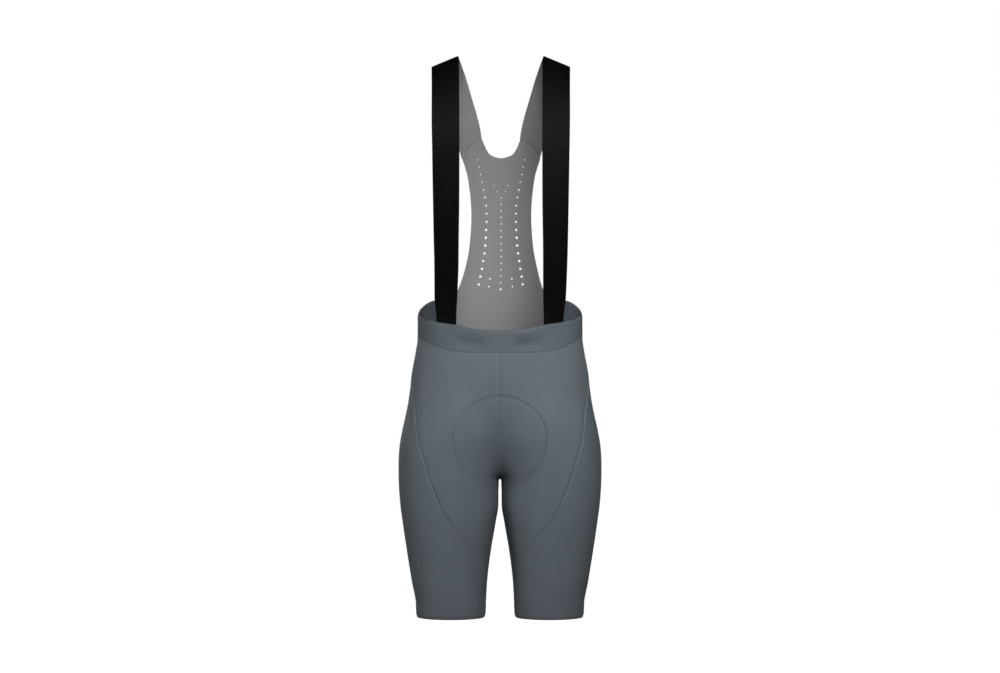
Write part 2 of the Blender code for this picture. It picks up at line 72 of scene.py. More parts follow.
# The body's level cuts, as in the solids
Section = namedtuple("Section", "height side inner front back fullness groove")
SECTIONS = [Section(*row) for row in (
    (-0.1, 0.148, -0.148, -0.095, 0.094, 2.1, 0.0), (-0.13, 0.15, -0.15, -0.108, 0.102, 2.1, 0.0),
    (-0.17, 0.153, -0.153, -0.115, 0.109, 2.1, 0.0), (-0.22, 0.156, -0.156, -0.117, 0.113, 2.1, 0.0),
    (-0.28, 0.154, -0.154, -0.113, 0.11, 2.1, 0.0), (-0.34, 0.147, -0.147, -0.106, 0.102, 2.1, 0.0),
    (-0.4, 0.14, -0.14, -0.1, 0.0925, 2.1, 0.0), (-0.4395, 0.1396, -0.1396, -0.098, 0.0895, 2.1, 0.0),
    (-0.4667, 0.1397, -0.1397, -0.098, 0.0895, 2.12, 0.0),
    (-0.4939, 0.1433, -0.1433, -0.099, 0.0915, 2.15, 0.0),
    (-0.5211, 0.1484, -0.1484, -0.1, 0.0955, 2.18, 0.0),
    (-0.5483, 0.1518, -0.1518, -0.101, 0.102, 2.2, 0.0),
    (-0.5755, 0.1556, -0.125, -0.101, 0.109, 2.2, 0.01), (-0.6027, 0.161, -0.072, -0.1, 0.1155, 2.2, 0.019),
    (-0.6299, 0.1671, -0.037, -0.098, 0.12, 2.2, 0.022),
    (-0.6571, 0.1715, -0.015, -0.095, 0.121, 2.2, 0.021),
    (-0.68, 0.1728, -0.003, -0.092, 0.118, 2.2, 0.016), (-0.7, 0.1728, 0.0017, -0.0895, 0.1125, 2.2, 0.009),
    (CROTCH, 0.1726, 0.003, -0.0885, 0.1095, 2.2, 0.003),
    (-0.714, 0.1725, 0.0028, -0.088, 0.1085, 2.2, 0.0), (-0.7523, 0.1698, 0.0027, -0.0845, 0.1, 2.2, 0.0),
    (-0.7829, 0.1658, 0.0072, -0.0805, 0.0945, 2.15, 0.0),
    (-0.8339, 0.1582, 0.0158, -0.074, 0.085, 2.1, 0.0),
    (-0.8849, 0.1499, 0.0218, -0.0675, 0.0745, 2.05, 0.0),
    (-0.9223, 0.1431, 0.0238, -0.0635, 0.067, 2.0, 0.0), (HEM, 0.1425, 0.0245, -0.062, 0.064, 2.0, 0.0),
)]
Waist = namedtuple("Waist", "turn top low")
WAIST = [Waist(*row) for row in (
    (FRONT_CENTRE, -0.4582, -0.4955), (-74.0, -0.4553, -0.495), (-60.0, -0.4487, -0.4931),
    (-40.0, -0.4432, -0.4835), (-14.0, -0.434, -0.469), (0.0, -0.429, -0.464), (14.0, -0.4201, -0.457),
    (36.0, -0.4065, -0.445), (BAND_END_TURN, -0.4035, BAND_CORNER),
)]
Seam = namedtuple("Seam", "height turn")
FRONT_SWEEP = [Seam(*row) for row in (
    (-0.4538, SWEEP_TOP_TURN), (-0.5, 9.0), (-0.535, -4.0), (-0.563, -16.2), (-0.586, -26.5),
    (-0.613, -37.9), (-0.638, -47.2), (-0.662, -56.8), (-0.681, -63.7), (-0.709, -71.4), (-0.737, -78.7),
    (-0.762, -85.4), (-0.7795, -92.0), (-0.7986, -103.5), (-0.812, -115.0), (-0.826, -129.0),
    (-0.842, -157.0), (SWEEP_END, -INSEAM_TURN),
)]
BACK_SWEEP = [Seam(*row) for row in (
    (BAND_CORNER, BAND_END_TURN), (-0.5, 50.0), (-0.56, 48.3), (-0.61, 52.2), (-0.65, 56.9), (-0.69, 65.4),
    (-0.72, 75.0), (-0.75, 84.0), (-0.78, 94.0), (-0.8, 104.0), (-0.815, 117.0), (-0.829, 134.0),
    (-0.842, 157.0), (SWEEP_END, INSEAM_TURN),
)]
Edge = namedtuple("Edge", "height across")
BACK_SIDE = [Edge(*row) for row in (
    (-0.16, 0.0674), (-0.1747, 0.0625), (-0.1886, 0.0586), (-0.2025, 0.0563), (-0.2303, 0.0531),
    (-0.2581, 0.0517), (-0.2859, 0.0527), (-0.3137, 0.0552), (-0.3415, 0.0603), (-0.3693, 0.0674),
    (-0.3832, 0.0721), (-0.395, 0.0778), (-0.4035, 0.0828),
)]
NECK = [Edge(*row) for row in (
    (-0.1583, 0.0), (-0.1568, 0.0087), (-0.1528, 0.0186), (-0.1475, 0.0235), (-0.1372, 0.029),
    (-0.1265, 0.0332),
)]
YOKE = [Edge(*row) for row in (
    (-0.1265, 0.0332), (-0.1305, 0.0435), (-0.1395, 0.0545), (-0.1495, 0.0622), (-0.16, 0.0674),
)]
Ribbon = namedtuple("Ribbon", "inner_x inner_y inner_z outer_x outer_y outer_z")
STRAP = [Ribbon(*row) for row in (
    (0.0723, -0.0905, -0.4, 0.1106, -0.0665, -0.4), (0.0712, -0.0975, -0.36, 0.1113, -0.076, -0.36),
    (0.0706, -0.1045, -0.307, 0.1123, -0.087, -0.307), (0.0695, -0.11, -0.24, 0.1132, -0.0985, -0.24),
    (0.0692, -0.111, -0.158, 0.1143, -0.1045, -0.158), (0.0696, -0.101, -0.108, 0.1153, -0.0965, -0.108),
    (0.0701, -0.08, -0.058, 0.1157, -0.076, -0.061), (0.0708, -0.054, -0.019, 0.1165, -0.051, -0.033),
    (0.0718, -0.027, 0.0035, 0.1173, -0.025, -0.0145), (0.0727, 0.0, 0.0094, 0.118, 0.0, -0.0094),
    (0.0697, 0.024, 0.002, 0.115, 0.022, -0.016), (0.0645, 0.042, -0.012, 0.1085, 0.036, -0.029),
    (0.0592, 0.0555, -0.0271, 0.102, 0.047, -0.042), (0.0534, 0.067, -0.0465, 0.0962, 0.057, -0.06),
    (0.0475, 0.0765, -0.0663, 0.0902, 0.066, -0.08), (0.0415, 0.085, -0.0863, 0.084, 0.075, -0.103),
    (0.0365, 0.092, -0.1067, 0.076, 0.085, -0.131),
)]
STRAP_IN_BAND_INNER = 0.0745
STRAP_IN_BAND_OUTER = 0.1085
STRAP_IN_BAND_HEIGHTS = (-0.484, -0.462, -0.440)

# Perforations of one side, which are mirrored, and the middle column's
Hole = namedtuple("Hole", "height across width")
OUTER_HOLES = [Hole(*row) for row in (
    (-0.1608, 0.041, 0.0023), (-0.1733, 0.0382, 0.0023), (-0.186, 0.0361, 0.0025), (-0.1994, 0.033, 0.0027),
    (-0.2129, 0.0308, 0.0031), (-0.226, 0.0282, 0.0033), (-0.2402, 0.0262, 0.0034),
    (-0.2541, 0.0256, 0.0037), (-0.2685, 0.0254, 0.004),
)]
FLANK_HOLES = [Hole(*row) for row in (
    (-0.3676, 0.019, 0.0033), (-0.3812, 0.0205, 0.0033), (-0.2052, 0.0125, 0.0021),
    (-0.216, 0.0072, 0.0021),
)]
LARGE_HOLE_WIDTH = 0.0046
LARGE_HOLE_TOP = -0.2825
LARGE_HOLE_PITCH = 0.01355
LARGE_HOLES = 8
LARGE_HOLE_COLUMN = [Edge(*row) for row in (
    (-0.28, 0.026), (-0.31, 0.0277), (-0.34, 0.0318), (-0.385, 0.0395),
)]
MIDDLE_HOLES = 14
MIDDLE_HOLE_TOP = -0.2265
MIDDLE_HOLE_LOW = -0.3858
MIDDLE_HOLE_WIDTH = 0.0026
MIDDLE_LAST_WIDTH = 0.0040
HOLE_SIDES = 20

SLATE_SLOT, BAND_SLOT, GREY_SLOT, BLACK_SLOT = "slate_knit", "slate_band", "grey_mesh", "black_webbing"
SIDES = ((1, "left"), (-1, "right"))


# Smooth curves and the body's surface, for arrays of places


def unit(vectors):
    return vectors / np.linalg.norm(vectors, axis=-1, keepdims=True)


def lengths_along(points):
    """The distance travelled along a row of points, from 0 at the first."""
    return np.concatenate([[0.0], np.cumsum(np.linalg.norm(np.diff(points, axis=0), axis=1))])


def smooth_curve(places, values):
    """A smooth curve through the given values that never overshoots them, as a function of the place."""
    x = np.asarray(places, float)
    y = np.asarray(values, float)
    if x[0] > x[-1]:
        x, y = x[::-1], y[::-1]
    step = np.diff(x)
    rise = np.diff(y) / step
    slope = np.zeros(len(x))
    slope[0], slope[-1] = rise[0], rise[-1]
    for i in range(1, len(x) - 1):
        if rise[i - 1] * rise[i] > 0:
            before = 2 * step[i] + step[i - 1]
            after = step[i] + 2 * step[i - 1]
            slope[i] = (before + after) / (before / rise[i - 1] + after / rise[i])

    def at(place):
        place = np.clip(place, x[0], x[-1])
        i = np.clip(np.searchsorted(x, place, side="right") - 1, 0, len(step) - 1)
        t = (place - x[i]) / step[i]
        return (
            (1 + 2 * t) * (1 - t) ** 2 * y[i]
            + t * (1 - t) ** 2 * step[i] * slope[i]
            + t * t * (3 - 2 * t) * y[i + 1]
            + t * t * (t - 1) * step[i] * slope[i + 1]
        )

    return at


def table_curve(rows, place, value):
    """A smooth curve of one named column of a table over another."""
    return smooth_curve([getattr(row, place) for row in rows], [getattr(row, value) for row in rows])


SECTION_CURVES = [table_curve(SECTIONS, "height", name) for name in Section._fields[1:]]
BAND_TOP = table_curve(WAIST, "turn", "top")
BAND_LOW = table_curve(WAIST, "turn", "low")


def section_at(height):
    return Section(height, *[curve(height) for curve in SECTION_CURVES])


def half_cut(section):
    side = np.hypot(section.side, section.groove)
    centre = (side + section.inner) / 2
    width = (side - section.inner) / 2
    middle = (section.front + section.back) / 2
    depth = (section.back - section.front) / 2
    return centre, width, middle, depth


def signed_power(value, power):
    return np.copysign(np.abs(value) ** power, value)


def turn_at(across, height):
    section = section_at(height)
    centre, width, _, _ = half_cut(section)
    ratio = np.clip((np.hypot(across, section.groove) - centre) / width, -1.0, 1.0)
    return np.degrees(np.arccos(signed_power(ratio, section.fullness / 2)))


def cloth_points(turn, height):
    section = section_at(height)
    centre, width, middle, depth = half_cut(section)
    angle = np.radians(turn)
    across = centre + width * signed_power(np.cos(angle), 2 / section.fullness)
    along = middle + depth * signed_power(np.sin(angle), 2 / section.fullness)
    across = np.sqrt(np.maximum(across * across - section.groove * section.groove, 0.0))
    return np.stack([across, along, height + 0.0 * along], axis=-1)


def depth_at(across, height, to_back):
    section = section_at(height)
    _, width, middle, depth = half_cut(section)
    reach = (1 - (np.abs(across) / width) ** section.fullness) ** (1 / section.fullness)
    return middle + (depth if to_back else -depth) * reach


def surface_value(x, y, height):
    section = section_at(height)
    centre, width, middle, depth = half_cut(section)
    across = np.abs(np.hypot(x, section.groove) - centre) / width
    along = np.abs(y - middle) / depth
    return across**section.fullness + along**section.fullness


def cloth_normals(points):
    x, y, height = points[..., 0], points[..., 1], points[..., 2]
    section = section_at(height)
    centre, width, middle, depth = half_cut(section)
    power = section.fullness - 1
    folded = np.hypot(x, section.groove)
    slope_x = signed_power((folded - centre) / width, power) / width
    slope_x = slope_x * np.where(folded > 0, x / np.maximum(folded, 1e-9), 0.0)
    slope_y = signed_power((y - middle) / depth, power) / depth
    probe = 0.0005
    above = surface_value(x, y, np.minimum(height + probe, SECTIONS[0].height))
    below = surface_value(x, y, np.maximum(height - probe, HEM))
    slope_z = (above - below) / (2 * probe) / section.fullness
    return unit(np.stack([slope_x, slope_y, slope_z], axis=-1))


# Lines on the surface


def graded(count, near, share):
    """count + 1 shares from 0 to 1 with `near` steps crowded into the first and last `share` of them."""
    end = share * (np.linspace(0.0, 1.0, near + 1) ** 1.4)
    middle = np.linspace(share, 1 - share, count - 2 * near + 1)
    return np.concatenate([end, middle[1:-1], 1 - end[::-1]])


def spaced(line, shares, samples=600):
    """Places along a line at the given shares of its length on the cloth."""
    t = np.linspace(0.0, 1.0, samples + 1)
    lengths = lengths_along(cloth_points(*line(t)))
    found = np.interp(np.asarray(shares) * lengths[-1], lengths, t)
    return np.stack(line(found), axis=-1)


def seam_line(rows):
    turn = table_curve(rows, "height", "turn")
    top, bottom = rows[0].height, rows[-1].height

    def line(share):
        height = top + (bottom - top) * share
        return turn(height), height

    return line


def rise_line(top, side):
    def line(share):
        height = CROTCH + (top - CROTCH) * (1 - share) ** 2
        return side * turn_at(0.0, height), height

    return line


def band_seam_line(start, end):
    def line(share):
        turn = start + (end - start) * share
        return turn, BAND_LOW(turn)

    return line


def dip_line(share):
    angle = np.radians(90 * share)
    corner = cloth_points(np.array(BAND_END_TURN), np.array(BAND_CORNER))[0]
    across, height = corner * np.sin(angle), BAND_CORNER + (BACK_DIP - BAND_CORNER) * np.cos(angle)
    return turn_at(across, height), height


def inseam_line(side):
    def line(share):
        return side * INSEAM_TURN + 0 * share, CROTCH + (SWEEP_END - CROTCH) * share

    return line


def filled_patch(top, bottom, left, right, over, down):
    """The grid of places between four edges, at the given shares across and down."""
    over = over[None, :, None]
    down = down[:, None, None]
    edges = (1 - down) * top[None] + down * bottom[None] + (1 - over) * left[:, None] + over * right[:, None]
    upper = (1 - over) * top[0] + over * top[-1]
    lower = (1 - over) * bottom[0] + over * bottom[-1]
    return edges - (1 - down) * upper - down * lower


# Distances and soft shapes


def distance_to(points, line):
    """How far each point is from a line of closely spaced points."""
    tree = kdtree.KDTree(len(line))
    for i, place in enumerate(line.tolist()):
        tree.insert(place, i)
    tree.balance()
    nearest = np.array([tree.find(place)[1] for place in points.tolist()])
    best = np.full(len(points), np.inf)
    for before in (1, 0):
        i = np.clip(nearest - before, 0, len(line) - 2)
        start, span = line[i], line[i + 1] - line[i]
        square = np.maximum((span * span).sum(axis=1), 1e-18)
        share = np.clip(((points - start) * span).sum(axis=1) / square, 0.0, 1.0)
        best = np.minimum(best, np.linalg.norm(points - start - share[:, None] * span, axis=1))
    return best


def flat_distance(places, line, closed=False):
    """As distance_to, for (across, height) places and a line that may close on itself."""
    if closed:
        line = np.concatenate([line, line[:1]])
    return distance_to(np.pad(places, ((0, 0), (0, 1))), np.pad(line, ((0, 0), (0, 1))))


def within(places, polygon):
    """Which (across, height) places lie inside a closed outline."""
    x, z = places[:, 0], places[:, 1]
    inside = np.zeros(len(places), bool)
    for (x0, z0), (x1, z1) in zip(polygon, np.roll(polygon, -1, axis=0)):
        if z0 != z1:
            crosses = (z0 > z) != (z1 > z)
            inside ^= crosses & (x < (x1 - x0) * (z - z0) / (z1 - z0) + x0)
    return inside


def hump(distance, width):
    return np.exp(-((distance / width) ** 2))


def ease(value):
    value = np.clip(value, 0.0, 1.0)
    return value * value * (3 - 2 * value)


# Shells of cloth


def grid_faces(rows, columns):
    index = np.arange(rows * columns).reshape(rows, columns)
    return np.stack(
        [index[:-1, :-1], index[:-1, 1:], index[1:, 1:], index[1:, :-1]], axis=-1
    ).reshape(-1, 4)


def joined(grids):
    """The places of several grids as one list, each place once, with the faces."""
    places = np.concatenate([grid.reshape(-1, grid.shape[-1]) for grid in grids])
    faces = []
    start = 0
    for grid in grids:
        faces.append(grid_faces(*grid.shape[:2]) + start)
        start += grid.shape[0] * grid.shape[1]
    faces = np.concatenate(faces)
    keys = np.round(places[:, :2], 7)
    _, first, index = np.unique(keys, axis=0, return_index=True, return_inverse=True)
    return places[first], index.reshape(-1)[faces]


def outline(faces):
    """The edges that only one face has, as (start, end) in the face's own direction."""
    following = np.roll(faces, -1, axis=1)
    edges = np.stack([faces.reshape(-1), following.reshape(-1)], axis=1)
    _, index, count = np.unique(np.sort(edges, axis=1), axis=0, return_inverse=True, return_counts=True)
    owner = np.repeat(np.arange(len(faces)), faces.shape[1])
    alone = count[index.reshape(-1)] == 1
    return edges[alone], owner[alone]


def edge_directions(points, normals, faces, edges, owner):
    """For each outline point, the direction in the cloth that leads away from the edge."""
    inward = np.cross(normals[edges[:, 0]] + normals[edges[:, 1]], points[edges[:, 1]] - points[edges[:, 0]])
    inward /= np.maximum(np.linalg.norm(inward, axis=1, keepdims=True), 1e-12)
    centre = points[faces[owner]].mean(axis=1)
    flip = ((centre - points[edges[:, 0]]) * inward).sum(axis=1) < 0
    inward[flip] *= -1
    total = np.zeros_like(points)
    for k in (0, 1):
        np.add.at(total, edges[:, k], inward)
    length = np.linalg.norm(total, axis=1, keepdims=True)
    return np.where(length > 0, total / np.maximum(length, 1e-12), 0.0)


def new_mesh(name, points, corners, starts, uv):
    """A smooth mesh from points, faces' corners, each face's first corner and the points' cloth metres."""
    mesh = bpy.data.meshes.new(name)
    mesh.vertices.add(len(points))
    mesh.vertices.foreach_set("co", points.astype(np.float32).ravel())
    mesh.loops.add(len(corners))
    mesh.loops.foreach_set("vertex_index", corners.astype(np.int32))
    mesh.polygons.add(len(starts))
    mesh.polygons.foreach_set("loop_start", starts.astype(np.int32))
    mesh.update(calc_edges=True)
    layer = mesh.uv_layers.new(name="cloth")
    layer.uv.foreach_set("vector", uv[corners].astype(np.float32).ravel())
    mesh.shade_smooth()
    return mesh


# The hairline between two sewn shells
SHELL_GAP = 0.00008


def shell(name, points, normals, faces, cloth, outer, inner, uv, rim=0.3, gap=SHELL_GAP):
    """A closed thin shell over faces of three or four corners, and which of its faces lie inside (1).
    outer and inner move its two faces along the normals, and rim rounds its edge by a share of the cloth."""
    edges, owner = outline(faces)
    away = edge_directions(points, normals, faces, edges, owner)
    points = points + away * gap / 2
    front = points + normals * outer[:, None]
    back = points - normals * (cloth + inner)[:, None]
    a, b, c = (points[faces[:, k]] for k in range(3))
    if (np.cross(b - a, c - a) * normals[faces[:, 0]]).sum() < 0:
        faces = faces[:, ::-1]
        edges = edges[:, ::-1]
    count = len(points)
    used = np.unique(edges)
    rim_index = np.full(count, -1)
    rim_index[used] = 2 * count + np.arange(len(used))
    rim_points = ((front + back) / 2 - away * cloth * rim)[used]
    s, e = edges[:, 0], edges[:, 1]
    upper = np.stack([e, s, rim_index[s], rim_index[e]], axis=1)
    lower = np.stack([rim_index[e], rim_index[s], s + count, e + count], axis=1)
    corners = np.concatenate([part.ravel() for part in (faces, faces[:, ::-1] + count, upper, lower)])
    starts = np.concatenate([
        np.arange(0, 2 * faces.size, faces.shape[1]), 2 * faces.size + np.arange(0, 8 * len(edges), 4)
    ])
    points = np.concatenate([front, back, rim_points])
    mesh = new_mesh(name, points, corners, starts, np.concatenate([uv, uv, uv[used]]))
    sides = np.zeros(len(starts), np.int32)
    sides[len(faces) : 2 * len(faces)] = 1
    return mesh, sides


def add_piece(name, mesh, materials, slot, *nodes):
    thing = bpy.data.objects.new(name, mesh)
    bpy.context.scene.collection.objects.link(thing)
    for material in materials:
        mesh.materials.append(material)
    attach(thing, "root")
    if nodes:
        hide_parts(*nodes)
    return thing


def mirrored(mesh, name):
    copy = mesh.copy()
    copy.name = name
    co = np.zeros(len(copy.vertices) * 3, np.float32)
    copy.vertices.foreach_get("co", co)
    co[::3] *= -1
    copy.vertices.foreach_set("co", co)
    copy.flip_normals()
    return copy


# Finishes. A knit's bumps are this deep in metres

YARN_DEPTH = 0.00025


class Graph:
    """Small helper to write a material's nodes."""

    def __init__(self, name):
        self.material = bpy.data.materials.new(name)
        self.material.use_nodes = True
        self.tree = self.material.node_tree
        self.shader = self.tree.nodes["Principled BSDF"]

    def node(self, kind, **settings):
        node = self.tree.nodes.new(kind)
        for key, value in settings.items():
            setattr(node, key, value)
        return node

    def link(self, source, target):
        if isinstance(source, (int, float)):
            target.default_value = source
        else:
            self.tree.links.new(source, target)

    def math(self, operation, a, b=0.0):
        node = self.node("ShaderNodeMath", operation=operation)
        self.link(a, node.inputs[0])
        self.link(b, node.inputs[1])
        return node.outputs[0]

    def noise(self, vector, scale, detail):
        node = self.node("ShaderNodeTexNoise")
        self.link(vector, node.inputs["Vector"])
        node.inputs["Scale"].default_value = scale
        node.inputs["Detail"].default_value = detail
        return node.outputs["Fac"]

    def waves(self, source, pitch):
        """A wave from 0 to 1 along a coordinate, one full wave each pitch."""
        turned = self.math("MULTIPLY", source, 2 * math.pi / pitch)
        wave = self.math("SINE", turned)
        return self.math("ADD", self.math("MULTIPLY", wave, 0.5), 0.5)


def cloth_material(name, colour, wale, course, bump, mottle=0.06, roughness=0.80, level=0.15):
    """A knit or woven cloth: yarns across and along in the cloth's own metres, with soft colour changes."""
    g = Graph(name)
    shader = g.shader
    parts = g.node("ShaderNodeSeparateXYZ")
    g.link(g.node("ShaderNodeUVMap", uv_map="cloth").outputs["UV"], parts.inputs[0])
    place = g.node("ShaderNodeTexCoord").outputs["Object"]
    columns = g.waves(parts.outputs["X"], wale)
    rows = g.waves(parts.outputs["Y"], course)
    yarn = g.math("MULTIPLY", columns, g.math("ADD", g.math("MULTIPLY", rows, 0.5), 0.5))
    fuzz = g.noise(place, 900.0, 1.0)
    soft = g.noise(place, 14.0, 3.0)
    grain = g.noise(place, 420.0, 2.0)
    bumped = g.node("ShaderNodeBump")
    bumped.inputs["Strength"].default_value = bump
    bumped.inputs["Distance"].default_value = YARN_DEPTH
    g.link(g.math("ADD", yarn, g.math("MULTIPLY", fuzz, 0.5)), bumped.inputs["Height"])
    g.link(bumped.outputs["Normal"], shader.inputs["Normal"])
    shade = g.math("ADD", g.math("MULTIPLY", soft, 0.6), g.math("MULTIPLY", grain, 0.4))
    shade = g.math("ADD", g.math("MULTIPLY", shade, 0.75), g.math("MULTIPLY", yarn, 0.25))
    mix = g.node("ShaderNodeMix", data_type="RGBA")
    g.link(shade, mix.inputs["Factor"])
    mix.inputs["A"].default_value = (*[c * (1 - 2 * mottle) for c in colour], 1.0)
    mix.inputs["B"].default_value = (*[c * (1 + 2 * mottle) for c in colour], 1.0)
    g.link(mix.outputs["Result"], shader.inputs["Base Color"])
    rough = g.math("ADD", g.math("MULTIPLY", soft, 0.10), roughness - 0.05)
    g.link(rough, shader.inputs["Roughness"])
    shader.inputs["Specular IOR Level"].default_value = level
    return g.material


SLATE = (0.1045, 0.1230, 0.1392)
BAND_SLATE = (0.0840, 0.0990, 0.1125)
GREY = (0.170, 0.170, 0.171)
WEBBING_GREY = (0.185, 0.185, 0.186)
BLACK = (0.0017, 0.0017, 0.0018)

# How wide a wale and a course of the knit are, and a rib of the webbing
KNIT = (0.00085, 0.00065)
MESH_KNIT = (0.0010, 0.0008)
THREAD = (0.0006, 0.0006)
WEBBING = (0.0011, 0.0019)

slate = cloth_material("slate_knit_cloth", SLATE, *KNIT, 0.35)
band_slate = cloth_material("slate_band_cloth", BAND_SLATE, *KNIT, 0.35)
# Thread darker than the cloth: painted shade, standing in for the shade line in the sweep seams' grooves and
# the shade marks along the pad's edge
shade_painted_thread = cloth_material("shade_painted_slate_thread", tuple(c * 0.42 for c in SLATE), *THREAD, 0.2)
# Thread lighter than the cloth: a painted highlight, standing in for the lit wall of the centre front seam's
# groove
highlight_painted_thread = cloth_material("highlight_painted_slate_thread", tuple(c * 1.45 for c in SLATE), *THREAD, 0.2)
grey = cloth_material("grey_mesh_cloth", GREY, *MESH_KNIT, 0.30, mottle=0.02)
webbing_grey = cloth_material("grey_webbing", WEBBING_GREY, *WEBBING, 0.35, mottle=0.03)
webbing_black = cloth_material(
    "black_webbing_face", BLACK, *WEBBING, 0.15, mottle=0.10, roughness=0.58, level=0.05
)


# The body's cloth in its own metres: u round the body from the side line, v down


def cloth_metres():
    heights = np.linspace(-0.40, HEM, 140)
    turns = np.linspace(-180.0, 180.0, 361)
    points = cloth_points(turns[None, :], heights[:, None])
    steps = np.linalg.norm(np.diff(points, axis=1), axis=2)
    around = np.concatenate([np.zeros((len(heights), 1)), np.cumsum(steps, axis=1)], axis=1)
    around -= around[:, 180:181]

    def at(turn, height):
        down = (height - heights[0]) / (heights[-1] - heights[0])
        row = np.clip(down * (len(heights) - 1), 0, len(heights) - 1.001)
        column = np.clip(turn + 180.0, 0, 359.999)
        i, j = row.astype(int), column.astype(int)
        a, b = row - i, column - j
        u = (1 - a) * ((1 - b) * around[i, j] + b * around[i, j + 1])
        u = u + a * ((1 - b) * around[i + 1, j] + b * around[i + 1, j + 1])
        return np.stack([u, -height], axis=-1)

    return at


METRES = cloth_metres()

SEAM_SHARES = np.linspace(0.0, 1.0, 321)


def line_points(line):
    return cloth_points(*spaced(line, SEAM_SHARES).T)


CENTRE_FRONT = line_points(rise_line(float(BAND_LOW(FRONT_CENTRE)), -1))
CENTRE_BACK = line_points(rise_line(BACK_DIP, 1))
SWEEP_FRONT = line_points(seam_line(FRONT_SWEEP))
SWEEP_BACK = line_points(seam_line(BACK_SWEEP))
BAND_SEAM = line_points(band_seam_line(FRONT_CENTRE, BAND_END_TURN))
LUMBAR = line_points(dip_line)
INSEAM = line_points(inseam_line(1))
LOW_INSEAM = cloth_points(np.full(60, INSEAM_TURN), np.linspace(SWEEP_END, HEM, 60))

# The pad's stitched edge on one half: across and height, on the front and then on the back
Ring = namedtuple("Ring", "across height")
PAD_FRONT = [Ring(*row) for row in (
    (0.0, -0.565), (0.0217, -0.5682), (0.0488, -0.5816), (0.0665, -0.5971), (0.076, -0.6168),
    (0.0787, -0.6345), (0.076, -0.6535), (0.0718, -0.6711), (0.061, -0.6874), (0.0451, -0.703),
    (0.0309, -0.7127), (0.0175, -0.7227), (0.008, -0.73), (0.0028, -0.7345),
)]
PAD_BACK = [Ring(*row) for row in (
    (0.0028, -0.7345), (0.009, -0.73), (0.022, -0.721), (0.045, -0.702), (0.07, -0.672), (0.082, -0.638),
    (0.08, -0.605), (0.066, -0.577), (0.04, -0.559), (0.02, -0.5535), (0.0, -0.552),
)]


def smoothed(table, count):
    """Evenly spaced (across, height) places along a table's rows."""
    rows = np.array([(row.across, row.height) for row in table])
    steps = lengths_along(rows)
    wanted = np.linspace(0.0, steps[-1], count)
    return np.stack([smooth_curve(steps, rows[:, k])(wanted) for k in (0, 1)], axis=-1)


def pad_places(table, side, count=220):
    flat = smoothed(table, count)
    return flat, np.stack([side * turn_at(*flat.T), flat[:, 1]], axis=-1)


PAD_FRONT_FLAT, PAD_FRONT_PLACES = pad_places(PAD_FRONT, -1)
PAD_BACK_FLAT, PAD_BACK_PLACES = pad_places(PAD_BACK, 1)
PAD_PLACES = np.concatenate([PAD_FRONT_PLACES, PAD_BACK_PLACES[1:]])
PAD_LINE = cloth_points(*PAD_PLACES.T)


def inside_ring(points, flat):
    """Which points lie inside the pad's edge, seen from the front or the back."""
    return within(points[:, [0, 2]], np.concatenate([flat, [[-0.01, flat[-1, 1]], [-0.01, flat[0, 1]]]]))


# Soft troughs and ridges in the cloth: each is a line on the left half (1) or the right (-1), which shows on
# the front (-1) or the back (1), with its ends, its width and its height
Crease = namedtuple("Crease", "half face x0 z0 x1 z1 width depth")
CREASES = [Crease(*row) for row in (
    (1, -1, 0.041, -0.4815, 0.054, -0.48, 0.0105, -0.006),
    (-1, -1, 0.041, -0.4815, 0.055, -0.48, 0.0105, -0.006),
    (1, -1, 0.052, -0.552, 0.038, -0.6, 0.026, -0.0016),
    (-1, -1, 0.056, -0.548, 0.044, -0.598, 0.024, -0.0036),
    (-1, -1, 0.028, -0.59, 0.024, -0.645, 0.019, -0.002),
    (1, -1, 0.045, -0.838, 0.105, -0.826, 0.03, -0.001), (-1, -1, 0.05, -0.83, 0.11, -0.842, 0.03, -0.001),
    (1, -1, 0.06, -0.905, 0.11, -0.9, 0.02, 0.0007), (-1, -1, 0.06, -0.903, 0.105, -0.906, 0.02, 0.0007),
    (1, -1, 0.018, -0.7, 0.07, -0.664, 0.012, -0.001), (-1, -1, 0.018, -0.7, 0.066, -0.66, 0.012, -0.001),
    (1, 1, 0.03, -0.706, 0.12, -0.69, 0.014, -0.0022), (-1, 1, 0.03, -0.706, 0.115, -0.694, 0.014, -0.0022),
    (1, 1, 0.035, -0.735, 0.11, -0.722, 0.012, -0.0014),
    (-1, 1, 0.038, -0.738, 0.105, -0.727, 0.012, -0.0014),
    (1, 1, 0.045, -0.85, 0.12, -0.84, 0.024, -0.0012), (-1, 1, 0.05, -0.846, 0.115, -0.852, 0.024, -0.0012),
)]


def crease_relief(points, normals, half):
    """The moves of the soft creases at points of one half, which are given on +X."""
    moved = np.zeros(len(points))
    flat = points[:, [0, 2]]
    for crease in CREASES:
        if crease.half != half:
            continue
        a, b = np.array((crease.x0, crease.z0)), np.array((crease.x1, crease.z1))
        span = b - a
        length = np.linalg.norm(span)
        along = (flat - a) @ span / length
        beside = (flat - a) @ np.array((-span[1], span[0])) / length
        past = np.maximum(np.maximum(-along, along - length), 0.0)
        seen = ease(normals[:, 1] * crease.face * 2.0)
        moved += crease.depth * hump(beside, crease.width) * hump(past, 1.6 * crease.width) * seen
    return moved


def seam_rounding(points, lines, depth=0.00022, width=0.0010):
    """The edges' own rounding where pieces are sewn."""
    return sum(depth * hump(distance_to(points, line), width) for line in lines)


